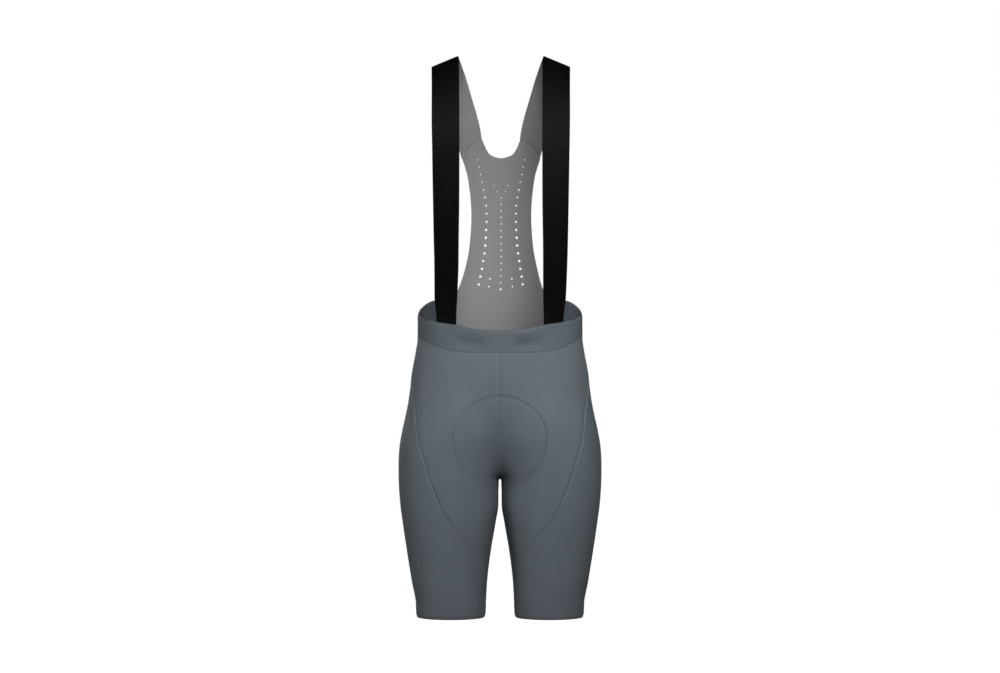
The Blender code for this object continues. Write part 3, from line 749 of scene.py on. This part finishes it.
def surface_shell(name, grids, relief, half, sewn, middle):
    """A shell over grids of (turn, height) places. relief(points, turn, height) moves the outer face.
    middle is -1 or 1 for cloth that is cut beside the front or back middle, so that its grain follows it."""
    places, faces = joined(grids)
    turn, height = places.T
    points = cloth_points(turn, height)
    normals = cloth_normals(points)
    rounding = seam_rounding(points, sewn)
    moved = relief(points, turn, height) + crease_relief(points, normals, half)
    uv = METRES(turn, height)
    if middle:
        beside = middle * np.where(height > CROTCH, turn_at(0.0, height), INSEAM_TURN)
        uv[:, 0] -= METRES(beside, height)[:, 0]
    return shell(name, points, normals, faces, SHORTS_CLOTH, moved - rounding, -moved - rounding * 0.6, uv)


def front_grid(columns=112, rows=200):
    over = graded(columns, 9, 0.05)
    down = graded(rows, 9, 0.025)
    return filled_patch(
        spaced(band_seam_line(FRONT_CENTRE, SWEEP_TOP_TURN), over),
        spaced(inseam_line(-1), over),
        spaced(rise_line(float(BAND_LOW(FRONT_CENTRE)), -1), down),
        spaced(seam_line(FRONT_SWEEP), down),
        over,
        down,
    )


def seat_grid(columns=90, rows=170):
    over = graded(columns, 8, 0.06)
    down = graded(rows, 8, 0.03)
    return filled_patch(
        spaced(dip_line, over),
        spaced(inseam_line(1), over),
        spaced(rise_line(BACK_DIP, 1), down),
        spaced(seam_line(BACK_SWEEP), down),
        over,
        down,
    )


# The share of each sweep seam's length that bounds the leg panel's hip part; the rest bounds its tube
HIP_SHARE = 11 / 15


def leg_grids(columns=76, hip_rows=110, seam_steps=44, tube_rows=52):
    over = graded(columns, 8, 0.045)
    down = np.linspace(0.0, 1.0, hip_rows + 1) ** 1.15
    front = spaced(seam_line(FRONT_SWEEP), down * HIP_SHARE)
    back = spaced(seam_line(BACK_SWEEP), down * HIP_SHARE)
    across = front[-1] + (back[-1] - front[-1]) * over[:, None]
    hip = filled_patch(
        spaced(band_seam_line(SWEEP_TOP_TURN, BAND_END_TURN), over), across, front, back, over, down
    )
    lower = HIP_SHARE + (1 - HIP_SHARE) * (1 - (1 - np.linspace(0.0, 1.0, seam_steps + 1)) ** 1.25)
    front_low = spaced(seam_line(FRONT_SWEEP), lower)
    back_low = spaced(seam_line(BACK_SWEEP), lower)
    ring = np.concatenate([front_low[:0:-1], across, back_low[1:]])
    down = graded(tube_rows, 9, 0.09)[:, None]
    tube_height = ring[None, :, 1] + (HEM - ring[None, :, 1]) * down
    tube = np.stack([np.repeat(ring[None, :, 0], len(down), axis=0), tube_height], axis=-1)
    return [hip, tube]


def band_grid(columns=190, rows=22):
    turns = spaced(band_seam_line(FRONT_CENTRE, BAND_END_TURN), np.linspace(0.0, 1.0, columns + 1))[:, 0]
    down = graded(rows, 5, 0.16)[:, None]
    height = BAND_TOP(turns)[None] * (1 - down) + BAND_LOW(turns)[None] * down
    return np.stack([np.repeat(turns[None], len(down), axis=0), height], axis=-1)


Hollow = namedtuple("Hollow", "height depth")
FRONT_HOLLOW = [Hollow(*row) for row in (
    (-0.52, 0.0), (-0.545, 0.0013), (-0.57, 0.004), (-0.6, 0.0064), (-0.63, 0.0075), (-0.66, 0.0064),
    (-0.685, 0.0018), (-0.7, 0.0),
)]
HOLLOW_REACH = 0.046

# Ridges and grooves beside a line: how far from it, how wide, and how high or deep
Bead = namedtuple("Bead", "beside width rise")
CENTRE_FRONT_BEADS = [Bead(0.0, 0.0024, -0.0004)]
CENTRE_BACK_BEADS = [Bead(0.0, 0.0036, -0.0009)]
FRONT_SWEEP_BEADS = [Bead(0.0, 0.0016, -0.0006), Bead(0.0, 0.0032, -0.0007)]
SEAT_SWEEP_BEADS = [Bead(0.0, 0.0022, -0.0004)]
LEG_FRONT_BEADS = [Bead(0.0046, 0.0034, 0.0005), Bead(0.0, 0.0016, -0.0005)]
LEG_BACK_BEADS = [Bead(0.0046, 0.0028, 0.0007), Bead(0.0, 0.0014, -0.0004)]
TOP_SEAM_BEADS = [Bead(0.0032, 0.0020, 0.0005)]
PAD_BEADS = [Bead(-0.0032, 0.0024, 0.0003), Bead(0.0028, 0.0026, -0.0004)]
HEM_BEADS = [Bead(0.016, 0.0035, 0.0003)]
PAD_STEP = 0.0007
PAD_SLOPE = 0.016
SWEEP_FADE_HEIGHT = -0.862


def beaded(distance, beads):
    return sum(bead.rise * hump(distance - bead.beside, bead.width) for bead in beads)


def rolled(distance, depth, width):
    """An edge that turns in by its depth over its width."""
    return -depth * (1 - ease(distance / width))


def front_relief(points, turn, height):
    fade = ease((height + 0.700) / 0.09)
    moved = beaded(distance_to(points, CENTRE_FRONT), CENTRE_FRONT_BEADS) * (0.35 + 0.65 * fade)
    seen = 0.15 + 0.85 * ease((height - SWEEP_FADE_HEIGHT) / 0.10)
    moved += beaded(distance_to(points, SWEEP_FRONT), FRONT_SWEEP_BEADS) * seen
    moved += beaded(distance_to(points, BAND_SEAM), TOP_SEAM_BEADS)
    ring = distance_to(points, PAD_LINE)
    inside = inside_ring(points, PAD_FRONT_FLAT)
    moved += PAD_STEP * np.where(inside, ease(ring / PAD_SLOPE), 0.0)
    moved += beaded(np.where(inside, ring, -ring), PAD_BEADS)
    hollow = table_curve(FRONT_HOLLOW, "height", "depth")(height)
    return moved - hollow * hump(points[:, 0], HOLLOW_REACH)


def seat_relief(points, turn, height):
    lumbar = distance_to(points, LUMBAR)
    moved = beaded(distance_to(points, CENTRE_BACK), CENTRE_BACK_BEADS) * ease(lumbar / 0.009)
    moved += beaded(distance_to(points, SWEEP_BACK), SEAT_SWEEP_BEADS)
    moved += beaded(lumbar, TOP_SEAM_BEADS)
    ring = distance_to(points, PAD_LINE)
    return moved + PAD_STEP * np.where(inside_ring(points, PAD_BACK_FLAT), ease(ring / PAD_SLOPE), 0.0)


def leg_relief(points, turn, height):
    moved = beaded(distance_to(points, SWEEP_FRONT), LEG_FRONT_BEADS)
    moved += beaded(distance_to(points, SWEEP_BACK), LEG_BACK_BEADS)
    moved *= ease((height - SWEEP_FADE_HEIGHT) / 0.11)
    moved += beaded(distance_to(points, BAND_SEAM), TOP_SEAM_BEADS)
    to_hem = height - HEM
    return moved + rolled(to_hem, 0.0016, 0.0055) + beaded(to_hem, HEM_BEADS)


def band_relief(turn, height):
    top = rolled(np.abs(height - BAND_TOP(turn)), 0.0018, 0.0038)
    return top + rolled(np.abs(height - BAND_LOW(turn)), 0.0003, 0.0016)


def build_pair(name, grids, relief, sewn, middle, **sheet):
    """The left panel and the right one, each with its own creases."""
    for half, side in SIDES:
        mesh, _ = surface_shell(f"{name}_{side}_cloth", grids, relief, half, sewn, middle)
        if half < 0:
            mesh = mirrored(mesh, f"{name}_{side}_cloth")
        piece = add_piece(f"{name}_{side}_cloth", mesh, [slate], SLATE_SLOT, f"{name}_{side}")


build_pair(
    "front_panel", [front_grid()], front_relief, [CENTRE_FRONT, SWEEP_FRONT, BAND_SEAM, INSEAM], -1,
    flat=(0.21, 0.41), area=0.056,
)
build_pair(
    "seat_panel", [seat_grid()], seat_relief, [CENTRE_BACK, SWEEP_BACK, LUMBAR, INSEAM], 1,
    flat=(0.18, 0.42), area=0.045,
)
build_pair(
    "leg_panel", leg_grids(), leg_relief, [SWEEP_FRONT, SWEEP_BACK, BAND_SEAM, LOW_INSEAM], 0,
    flat=(0.45, 0.52), area=0.120,
)


def waistband_mesh():
    """The whole band: two halves that share the front middle, each with its own soft dips."""
    halves = []
    grid = band_grid()
    turn, height = grid.reshape(-1, 2).T
    rolls = band_relief(turn, height)
    middle = METRES(np.array([FRONT_CENTRE]), np.array([-0.47]))[0, 0]
    for half, _ in SIDES:
        points = cloth_points(turn, height)
        normals = cloth_normals(points)
        dips = crease_relief(points, normals, half)
        uv = METRES(turn, height)
        uv[:, 0] -= middle
        for part in (points, normals, uv):
            part[:, 0] *= half
        parts = (points, normals, uv, rolls[:, None], dips[:, None])
        halves.append([part.reshape(*grid.shape[:2], -1) for part in parts])
    whole = [np.concatenate([right[:, :0:-1], left], axis=1) for left, right in zip(*halves)]
    points, normals, uv, rolls, dips = [part.reshape(-1, part.shape[-1]) for part in whole]
    rolls, dips = rolls[:, 0], dips[:, 0]
    faces = grid_faces(*whole[0].shape[:2])
    outer = rolls + dips + BAND_PROUD
    inner = np.minimum(rolls, 0.0) * 0.6 - dips * 0.7
    cloth = BAND_CLOTH - BAND_PROUD
    return shell("waistband_cloth", points, normals, faces, cloth, outer, inner, uv, rim=0.25)[0]


band = add_piece("waistband_cloth", waistband_mesh(), [band_slate], BAND_SLOT, "waistband")


# The photograph's straps and back panel hang a little towards the wearer's left
STRAP_LEAN = 0.0014
PANEL_LEAN = 0.0022
LEAN_FROM = -0.440
LEAN_TO = -0.330


def lean(mesh, reach):
    co = np.zeros(len(mesh.vertices) * 3, np.float32)
    mesh.vertices.foreach_get("co", co)
    co[::3] += reach * ease((co[2::3] - LEAN_FROM) / (LEAN_TO - LEAN_FROM))
    mesh.vertices.foreach_set("co", co)
    mesh.update()


# The back panel, cut from its outline with every perforation


def panel_outline():
    """The back panel's edge, as (across, height) points round both halves, and one seam with a strap."""
    yoke = smoothed(YOKE, 26)
    side = smoothed(BACK_SIDE + [Edge(BAND_CORNER, float(LUMBAR[-1, 0]))], 130)
    dip = LUMBAR[::-4][:, [0, 2]]
    half = np.concatenate([smoothed(NECK, 30), yoke[1:], side[1:], dip[1:]])
    return np.concatenate([half, half[-2:0:-1] * (-1, 1)]), yoke


def perforations():
    """Every hole as (across, height, diameter)."""
    found = []
    large = table_curve(LARGE_HOLE_COLUMN, "height", "across")
    for side in (-1, 1):
        for hole in OUTER_HOLES + FLANK_HOLES:
            found.append((side * hole.across, hole.height, hole.width))
        for n in range(LARGE_HOLES):
            height = LARGE_HOLE_TOP - n * LARGE_HOLE_PITCH
            found.append((side * float(large(height)), height, LARGE_HOLE_WIDTH))
    for n, height in enumerate(np.linspace(MIDDLE_HOLE_TOP, MIDDLE_HOLE_LOW, MIDDLE_HOLES + 1)):
        width = MIDDLE_LAST_WIDTH if n == MIDDLE_HOLES else MIDDLE_HOLE_WIDTH
        found.append((0.0, height, width))
    return found


# The panel's mesh: its grid, how far that stays from the edge and the holes, and the rows that follow those
PANEL_PITCH = 0.0030
PANEL_ROW_PITCH = PANEL_PITCH * 0.87
PANEL_REACH = 0.093
PANEL_TOP = -0.120
GRID_TO_EDGE = 0.0042
GRID_TO_HOLE = 0.0022
EDGE_ROWS = (0.0007, 0.0015, 0.0026)
COLLAR = 0.0011


def panel_mesh(edge, holes):
    """The points (across, height) and three-sided faces of the flat panel, with every hole left out."""
    ring = np.linspace(0.0, 2 * math.pi, HOLE_SIDES, endpoint=False)
    circle = np.stack([np.cos(ring), np.sin(ring)], axis=-1)
    points = [edge]
    lines = [(i, (i + 1) % len(edge)) for i in range(len(edge))]
    start = len(edge)
    for across, height, width in holes:
        points.append(circle * width / 2 + (across, height))
        points.append(circle[::2] * (width / 2 + COLLAR) + (across, height))
        lines += [(start + k, start + (k + 1) % HOLE_SIDES) for k in range(HOLE_SIDES)]
        start += len(points[-2]) + len(points[-1])
    xs = np.arange(-PANEL_REACH, PANEL_REACH + 0.0001, PANEL_PITCH)
    zs = np.arange(BACK_DIP, PANEL_TOP, PANEL_ROW_PITCH)
    grid = np.stack(np.meshgrid(xs, zs), axis=-1)
    grid[1::2, :, 0] += PANEL_PITCH / 2
    grid = grid.reshape(-1, 2)
    keep = within(grid, edge) & (flat_distance(grid, edge, True) > GRID_TO_EDGE)
    for across, height, width in holes:
        keep &= np.hypot(grid[:, 0] - across, grid[:, 1] - height) > width / 2 + GRID_TO_HOLE
    for offset in EDGE_ROWS:
        points.append(inset(edge, offset)[:: 2 if offset == EDGE_ROWS[-1] else 1])
    points.append(grid[keep])
    places = [Vector(place) for place in np.concatenate(points)]
    found = geometry.delaunay_2d_cdt(places, lines, [list(range(len(edge)))], 1, 1e-7)
    flat = np.array([tuple(place) for place in found[0]])
    faces = np.array([face for face in found[2] if len(face) == 3])
    centres = flat[faces].mean(axis=1)
    solid = within(centres, edge)
    for across, height, width in holes:
        solid &= np.hypot(centres[:, 0] - across, centres[:, 1] - height) > width / 2 * 0.97
    used, faces = np.unique(faces[solid], return_inverse=True)
    return flat[used], faces.reshape(-1, 3)


def inset(edge, offset):
    """The outline moved inwards, without its corners' crossings."""
    tangent = np.roll(edge, -1, axis=0) - np.roll(edge, 1, axis=0)
    normal = unit(np.stack([-tangent[:, 1], tangent[:, 0]], axis=-1))
    moved = edge + normal * offset
    if within(moved[:50], edge).mean() < 0.5:
        moved = edge - normal * offset
    return moved[within(moved, edge) & (flat_distance(moved, edge, True) > 0.93 * offset)]


# Ridges and grooves along the panel's edge, its hem line, its seams with the straps and its holes
PANEL_EDGE_BEADS = [Bead(0.0, 0.0009, -0.00035)]
PANEL_HEM_BEADS = [Bead(0.0050, 0.0011, -0.00022)]
YOKE_BEADS = [Bead(0.0, 0.0013, -0.0005), Bead(0.0036, 0.0020, 0.0006)]
HOLE_BEADS = [Bead(0.0, 0.0007, -0.00018)]
WAVE_DEPTH = 0.0009


def back_panel():
    edge, yoke = panel_outline()
    holes = perforations()
    flat, faces = panel_mesh(edge, holes)
    x, z = flat.T
    points = np.stack([x, depth_at(x, z, True), z], axis=-1)
    normals = cloth_normals(np.stack([np.abs(x), points[:, 1], z], axis=-1))
    normals[:, 0] *= np.where(x < 0, -1, 1)
    at_edge = flat_distance(flat, edge, True)
    at_yoke = flat_distance(np.column_stack([np.abs(x), z]), yoke)
    moved = beaded(at_edge, PANEL_EDGE_BEADS) + beaded(at_yoke, YOKE_BEADS)
    moved += beaded(at_edge, PANEL_HEM_BEADS) * ease((at_yoke - 0.006) / 0.01)
    for across, height, width in holes:
        moved += beaded(np.hypot(x - across, z - height) - width / 2, HOLE_BEADS)
    wave = WAVE_DEPTH * np.sin(z * 37.0 + 0.6) * np.cos(x * 21.0) * ease((-0.17 - z) / 0.05)
    uv = np.stack([x, -z], axis=-1)
    outer, inner = moved + wave, moved - wave
    return shell("back_panel_cloth", points, normals, faces, BACK_CLOTH, outer, inner, uv, 0.25, 0.0)[0]


mesh = back_panel()
lean(mesh, PANEL_LEAN)
panel = add_piece("back_panel_cloth", mesh, [grey], GREY_SLOT, "back_panel")


# The straps: ribbed webbing, black outside and grey inside

RIB_PITCH = 0.0037
RIB_HEIGHT = 0.00016
SELVEDGE = 0.0030
STRAP_EDGE_BEADS = [Bead(0.0, 0.0008, -0.00045), Bead(0.0026, 0.0010, 0.00012)]
STRAP_END_BEADS = [Bead(0.0, 0.0011, -0.0005)]


def strap_rows(shares):
    """Level rows of points across the strap, from inside the band over the shoulder to the back panel."""
    rows = []
    depth = BAND_CLOTH - BAND_PROUD + STRAP_CLEARANCE
    for height in STRAP_IN_BAND_HEIGHTS:
        x = STRAP_IN_BAND_INNER + (STRAP_IN_BAND_OUTER - STRAP_IN_BAND_INNER) * shares
        row = np.stack([x, depth_at(x, height, False), np.full(len(x), height)], axis=-1)
        rows.append(row - cloth_normals(row) * depth)
    for row in STRAP:
        inner, outer = np.array(row[:3]), np.array(row[3:])
        rows.append(inner + (outer - inner) * shares[:, None])
    end = smoothed(YOKE, 401)
    x, z = (np.interp(shares, np.linspace(0, 1, len(end)), end[:, k]) for k in (0, 1))
    rows.append(np.stack([x, depth_at(x, z, True), z], axis=-1))
    return np.array(rows)


def strap_shell(name, columns=24, steps_a_rib=5):
    shares = graded(columns, 5, 0.10)
    rows = strap_rows(shares)
    steps = lengths_along(rows[:, columns // 2])
    count = int(steps[-1] / RIB_PITCH) * steps_a_rib
    wanted = np.linspace(0.0, steps[-1], count + 1)
    points = np.zeros((count + 1, columns + 1, 3))
    for j in range(columns + 1):
        for axis in range(3):
            points[:, j, axis] = smooth_curve(steps, rows[:, j, axis])(wanted)
    normals = unit(np.cross(np.gradient(points, axis=1), np.gradient(points, axis=0)))
    normals[-1] = cloth_normals(points[-1])
    wide = np.linalg.norm(points[:, -1] - points[:, 0], axis=1)[:, None] * shares[None]
    beside = np.minimum(wide, wide[:, -1:] - wide)
    from_end = (steps[-1] - wanted)[:, None] + 0.0 * wide
    ribbed = ease((beside - SELVEDGE * 0.6) / (SELVEDGE * 0.5)) * ease((from_end - 0.003) / 0.004)
    rib = RIB_HEIGHT * np.sin(wanted / RIB_PITCH * 2 * math.pi)[:, None] * ribbed
    edge = beaded(beside, STRAP_EDGE_BEADS) + beaded(from_end, STRAP_END_BEADS)
    outer, inner = (rib + edge).ravel(), (rib * 0.8 + edge).ravel()
    uv = np.stack([wide, wanted[:, None] + 0.0 * wide], axis=-1).reshape(-1, 2)
    faces = grid_faces(count + 1, columns + 1)
    points, normals = points.reshape(-1, 3), normals.reshape(-1, 3)
    return shell(name, points, normals, faces, STRAP_CLOTH, outer, inner, uv, rim=0.2)


for half, side in SIDES:
    name = f"strap_{side}_webbing"
    mesh, sides = strap_shell(name)
    if half < 0:
        mesh = mirrored(mesh, name)
    lean(mesh, STRAP_LEAN)
    mesh.materials.append(webbing_black)
    mesh.materials.append(webbing_grey)
    mesh.polygons.foreach_set("material_index", sides)
    piece = add_piece(name, mesh, [], BLACK_SLOT, f"strap_{side}")


# Sewing. A stitch's rings: their place from end to end, their share of its radius and their rise in radii
Bulge = namedtuple("Bulge", "share wide rise")
STITCH = [
    Bulge(0.0, 0.35, -0.8),
    Bulge(0.25, 0.95, 0.25),
    Bulge(0.5, 1.0, 0.5),
    Bulge(0.75, 0.95, 0.25),
    Bulge(1.0, 0.35, -0.8),
]
STITCH_SIDES = 6
STITCH_FLATNESS = 0.8


def stitches(name, starts, ends, normals, radius, lift):
    """Short threads from starts to ends, humped over the cloth, as one mesh."""
    along = unit(ends - starts)
    beside = unit(np.cross(normals, along))
    upward = np.cross(along, beside)
    points = np.zeros((len(starts), len(STITCH), STITCH_SIDES, 3))
    for r, ring in enumerate(STITCH):
        centre = starts + (ends - starts) * ring.share + upward * (ring.rise * radius + lift)
        for k in range(STITCH_SIDES):
            angle = 2 * math.pi * k / STITCH_SIDES
            wide = math.cos(angle) * radius * ring.wide
            high = math.sin(angle) * radius * ring.wide * STITCH_FLATNESS
            points[:, r, k] = centre + beside * wide + upward * high
    faces = []
    for first in range(0, STITCH_SIDES * (len(STITCH) - 1), STITCH_SIDES):
        for k in range(STITCH_SIDES):
            a, b = first + k, first + (k + 1) % STITCH_SIDES
            faces.append([a, b, b + STITCH_SIDES, a + STITCH_SIDES])
    for end, order in ((0, -1), (STITCH_SIDES * (len(STITCH) - 1), 1)):
        ring = [end + k for k in range(STITCH_SIDES)][::order]
        faces += [ring[:4], ring[:1] + ring[3:]]
    shift = np.arange(len(starts))[:, None, None] * STITCH_SIDES * len(STITCH)
    corners = (np.array(faces)[None] + shift).ravel()
    flat = points.reshape(-1, 3)
    return new_mesh(name, flat, corners, np.arange(0, len(corners), 4), flat[:, [0, 2]])


def laid_on(points, normals, turn, height, relief, half):
    """Points of the plain form moved on to the finished cloth."""
    moved = relief(points, turn, height) + crease_relief(points, normals, half)
    return points + normals * moved[:, None]


def cross_stitches(places, relief, half, width, pitch):
    """Starts, ends and normals of slanting stitches across a line of (turn, height) places."""
    lengths = lengths_along(cloth_points(*places.T))
    count = int(lengths[-1] / pitch) * 4
    wanted = np.linspace(0.0, lengths[-1], count + 1)
    turn, height = (np.interp(wanted, lengths, places[:, k]) for k in (0, 1))
    points = cloth_points(turn, height)
    normals = cloth_normals(points)
    beside = unit(np.cross(normals, np.gradient(points, axis=0)))
    points = points + beside * np.where(np.arange(count + 1) % 4 == 0, 0.5, -0.5)[:, None] * width
    points = laid_on(points, normals, turn, height, relief, half)
    return points[:-1:4], points[1::4], (normals[:-1:4] + normals[1::4]) / 2


def seam_stitches(places, relief, half, length, gap):
    """Starts, ends and normals of straight stitches along a line of (turn, height) places."""
    lengths = lengths_along(cloth_points(*places.T))
    first = np.arange(gap, lengths[-1] - length, length + gap)
    ends = []
    for wanted in (first, first + length):
        turn, height = (np.interp(wanted, lengths, places[:, k]) for k in (0, 1))
        points = cloth_points(turn, height)
        normals = cloth_normals(points)
        ends.append((laid_on(points, normals, turn, height, relief, half), normals))
    return ends[0][0], ends[1][0], (ends[0][1] + ends[1][1]) / 2


def add_stitches(name, material, parts, half, radius, lift):
    starts, ends, normals = (np.concatenate(part) for part in zip(*parts))
    mesh = stitches(name, starts, ends, normals, radius, lift)
    if half < 0:
        mesh = mirrored(mesh, name)
    add_piece(name, mesh, [material], SLATE_SLOT)


# The pad's ring is sewn across except near the crotch, and the sweep seams along their upper part. A stitch
# across has its width and its pitch, and one along has its length and the gap to the next
PAD_STITCH = (0.0042, 0.0047)
PAD_STITCH_RADIUS = 0.00046
PAD_STITCH_LIFT = 0.0001
PAD_FRONT_SEWN = PAD_FRONT_PLACES[:202]
PAD_BACK_SEWN = PAD_BACK_PLACES[16:]
SWEEP_STITCH = (0.0026, 0.0005)
SWEEP_STITCH_RADIUS = 0.00034
SWEEP_SEWN = 0.86 * SEAM_SHARES
for half, side in SIDES:
    front = cross_stitches(PAD_FRONT_SEWN, front_relief, half, *PAD_STITCH)
    back = cross_stitches(PAD_BACK_SEWN, seat_relief, half, *PAD_STITCH)
    sewn = [front, back]
    # Both these stitch rows use the darker thread, which paints the shade of the seams' grooves and of the
    # pad's edge
    add_stitches(f"pad_stitching_{side}", shade_painted_thread, sewn, half, PAD_STITCH_RADIUS, PAD_STITCH_LIFT)
    rows = []
    for line, relief in ((seam_line(FRONT_SWEEP), front_relief), (seam_line(BACK_SWEEP), seat_relief)):
        rows.append(seam_stitches(spaced(line, SWEEP_SEWN), relief, half, *SWEEP_STITCH))
    add_stitches(f"sweep_stitching_{side}", shade_painted_thread, rows, half, SWEEP_STITCH_RADIUS, 0.0)

# The centre front seam is sewn down along its one side, from the band to the pad, in a lighter thread that
# paints the highlight on the lit wall of the seam's groove
SEWN_DOWN = 0.0046
SEWN_TO = -0.604
CENTRE_STITCH = (0.0028, 0.0016)
CENTRE_STITCH_RADIUS = 0.00021
sewn_heights = np.linspace(float(BAND_LOW(FRONT_CENTRE)) - 0.0015, SEWN_TO, 120)
sewn_places = np.stack([-turn_at(np.full(120, SEWN_DOWN), sewn_heights), sewn_heights], axis=-1)
sewn = cross_stitches(sewn_places, front_relief, -1, *CENTRE_STITCH)
add_stitches("centre_front_stitching", highlight_painted_thread, [sewn], -1, CENTRE_STITCH_RADIUS, 0.0)


# The studio: pale floor, plain light and the photograph's camera


# Soft lamps: sizes are in metres, powers in watts and spreads in degrees
Lamp = namedtuple("Lamp", "name place towards size power spread")
LAMPS = [
    Lamp("key", (0.25, -2.3, 1.2), (0.0, 0.0, -0.45), (1.4, 0.9), 44.0, 180.0),
    Lamp("high_key", (0.30, -2.4, 0.90), (0.06, 0.0, -0.29), (1.2, 0.7), 2.7, 28.0),
    Lamp("fill", (2.2, -4.6, 0.2), (0.0, 0.0, -0.45), (1.6, 1.6), 26.0, 180.0),
    Lamp("low_side", (-2.4, -0.9, -0.75), (-0.08, 0.0, -0.82), (0.5, 0.5), 0.22, 24.0),
    Lamp("back_key", (-0.5, 2.6, 0.1), (0.0, 0.0, -0.60), (2.0, 1.0), 10.0, 60.0),
]


def soft_light(lamp):
    light = bpy.data.lights.new(lamp.name, "AREA")
    light.spread = math.radians(lamp.spread)
    light.shape = "RECTANGLE"
    light.size, light.size_y = lamp.size
    light.energy = lamp.power
    thing = bpy.data.objects.new(lamp.name, light)
    thing.visible_camera = False
    bpy.context.scene.collection.objects.link(thing)
    thing.location = lamp.place
    thing.rotation_euler = (Vector(lamp.towards) - Vector(lamp.place)).to_track_quat("-Z", "Y").to_euler()


# The studio's light from each height: 0 straight below, 0.5 level and 1 straight above
WALL_LIGHT = [(0.0, 0.09), (0.30, 0.09), (0.45, 0.28), (0.60, 0.28), (0.75, 0.03), (1.0, 0.03)]


def pale_world():
    """Even light from all round by height, and plain white where the camera sees it."""
    world = bpy.data.worlds.new("studio")
    world.use_nodes = True
    bpy.context.scene.world = world
    nodes, link = world.node_tree.nodes, world.node_tree.links.new
    parts = nodes.new("ShaderNodeSeparateXYZ")
    link(nodes.new("ShaderNodeTexCoord").outputs["Generated"], parts.inputs[0])
    share = nodes.new("ShaderNodeMapRange")
    share.inputs["From Min"].default_value = -1.0
    link(parts.outputs["Z"], share.inputs["Value"])
    walls = nodes.new("ShaderNodeValToRGB")
    link(share.outputs["Result"], walls.inputs[0])
    steps = walls.color_ramp.elements
    while len(steps) < len(WALL_LIGHT):
        steps.new(1.0)
    for step, (place, level) in zip(steps, WALL_LIGHT):
        step.position = place
        step.color = (level, level, level, 1.0)
    strength = nodes.new("ShaderNodeMix")
    strength.inputs["B"].default_value = 1.0
    link(nodes.new("ShaderNodeLightPath").outputs["Is Camera Ray"], strength.inputs["Factor"])
    link(walls.outputs["Color"], strength.inputs["A"])
    background = nodes["Background"]
    background.inputs["Color"].default_value = (1.0, 1.0, 1.0, 1.0)
    link(strength.outputs["Result"], background.inputs["Strength"])


FLOOR_REACH = 12.0
FLOOR_HEIGHT = HEM - 0.32


def pale_floor():
    mesh = bpy.data.meshes.new("floor")
    signs = ((-1, -1), (1, -1), (1, 1), (-1, 1))
    mesh.from_pydata([(FLOOR_REACH * x, FLOOR_REACH * y, FLOOR_HEIGHT) for x, y in signs], [], [(0, 1, 2, 3)])
    floor = bpy.data.objects.new("floor", mesh)
    bpy.context.scene.collection.objects.link(floor)
    paper = Graph("pale_floor")
    paper.shader.inputs["Base Color"].default_value = (0.90, 0.90, 0.90, 1.0)
    paper.shader.inputs["Roughness"].default_value = 0.9
    paper.shader.inputs["Specular IOR Level"].default_value = 0.1
    paper.shader.inputs["Emission Color"].default_value = (1.0, 1.0, 1.0, 1.0)
    paper.shader.inputs["Emission Strength"].default_value = 0.95
    mesh.materials.append(paper.material)
    floor.visible_diffuse = False
    floor.visible_glossy = False


def photo_camera():
    data = bpy.data.cameras.new("camera")
    data.sensor_width = SENSOR
    data.lens = SENSOR * CAMERA_DISTANCE / (PHOTO_WIDTH * PIXEL)
    camera = bpy.data.objects.new("camera", data)
    camera.location = (0.0, -CAMERA_DISTANCE, CAMERA_HEIGHT)
    camera.rotation_euler = (math.pi / 2, 0.0, 0.0)
    scene = bpy.context.scene
    scene.collection.objects.link(camera)
    scene.camera = camera
    scene.view_settings.view_transform = "Standard"
    scene.view_settings.look = "None"


pale_world()
pale_floor()
for lamp in LAMPS:
    soft_light(lamp)
photo_camera()
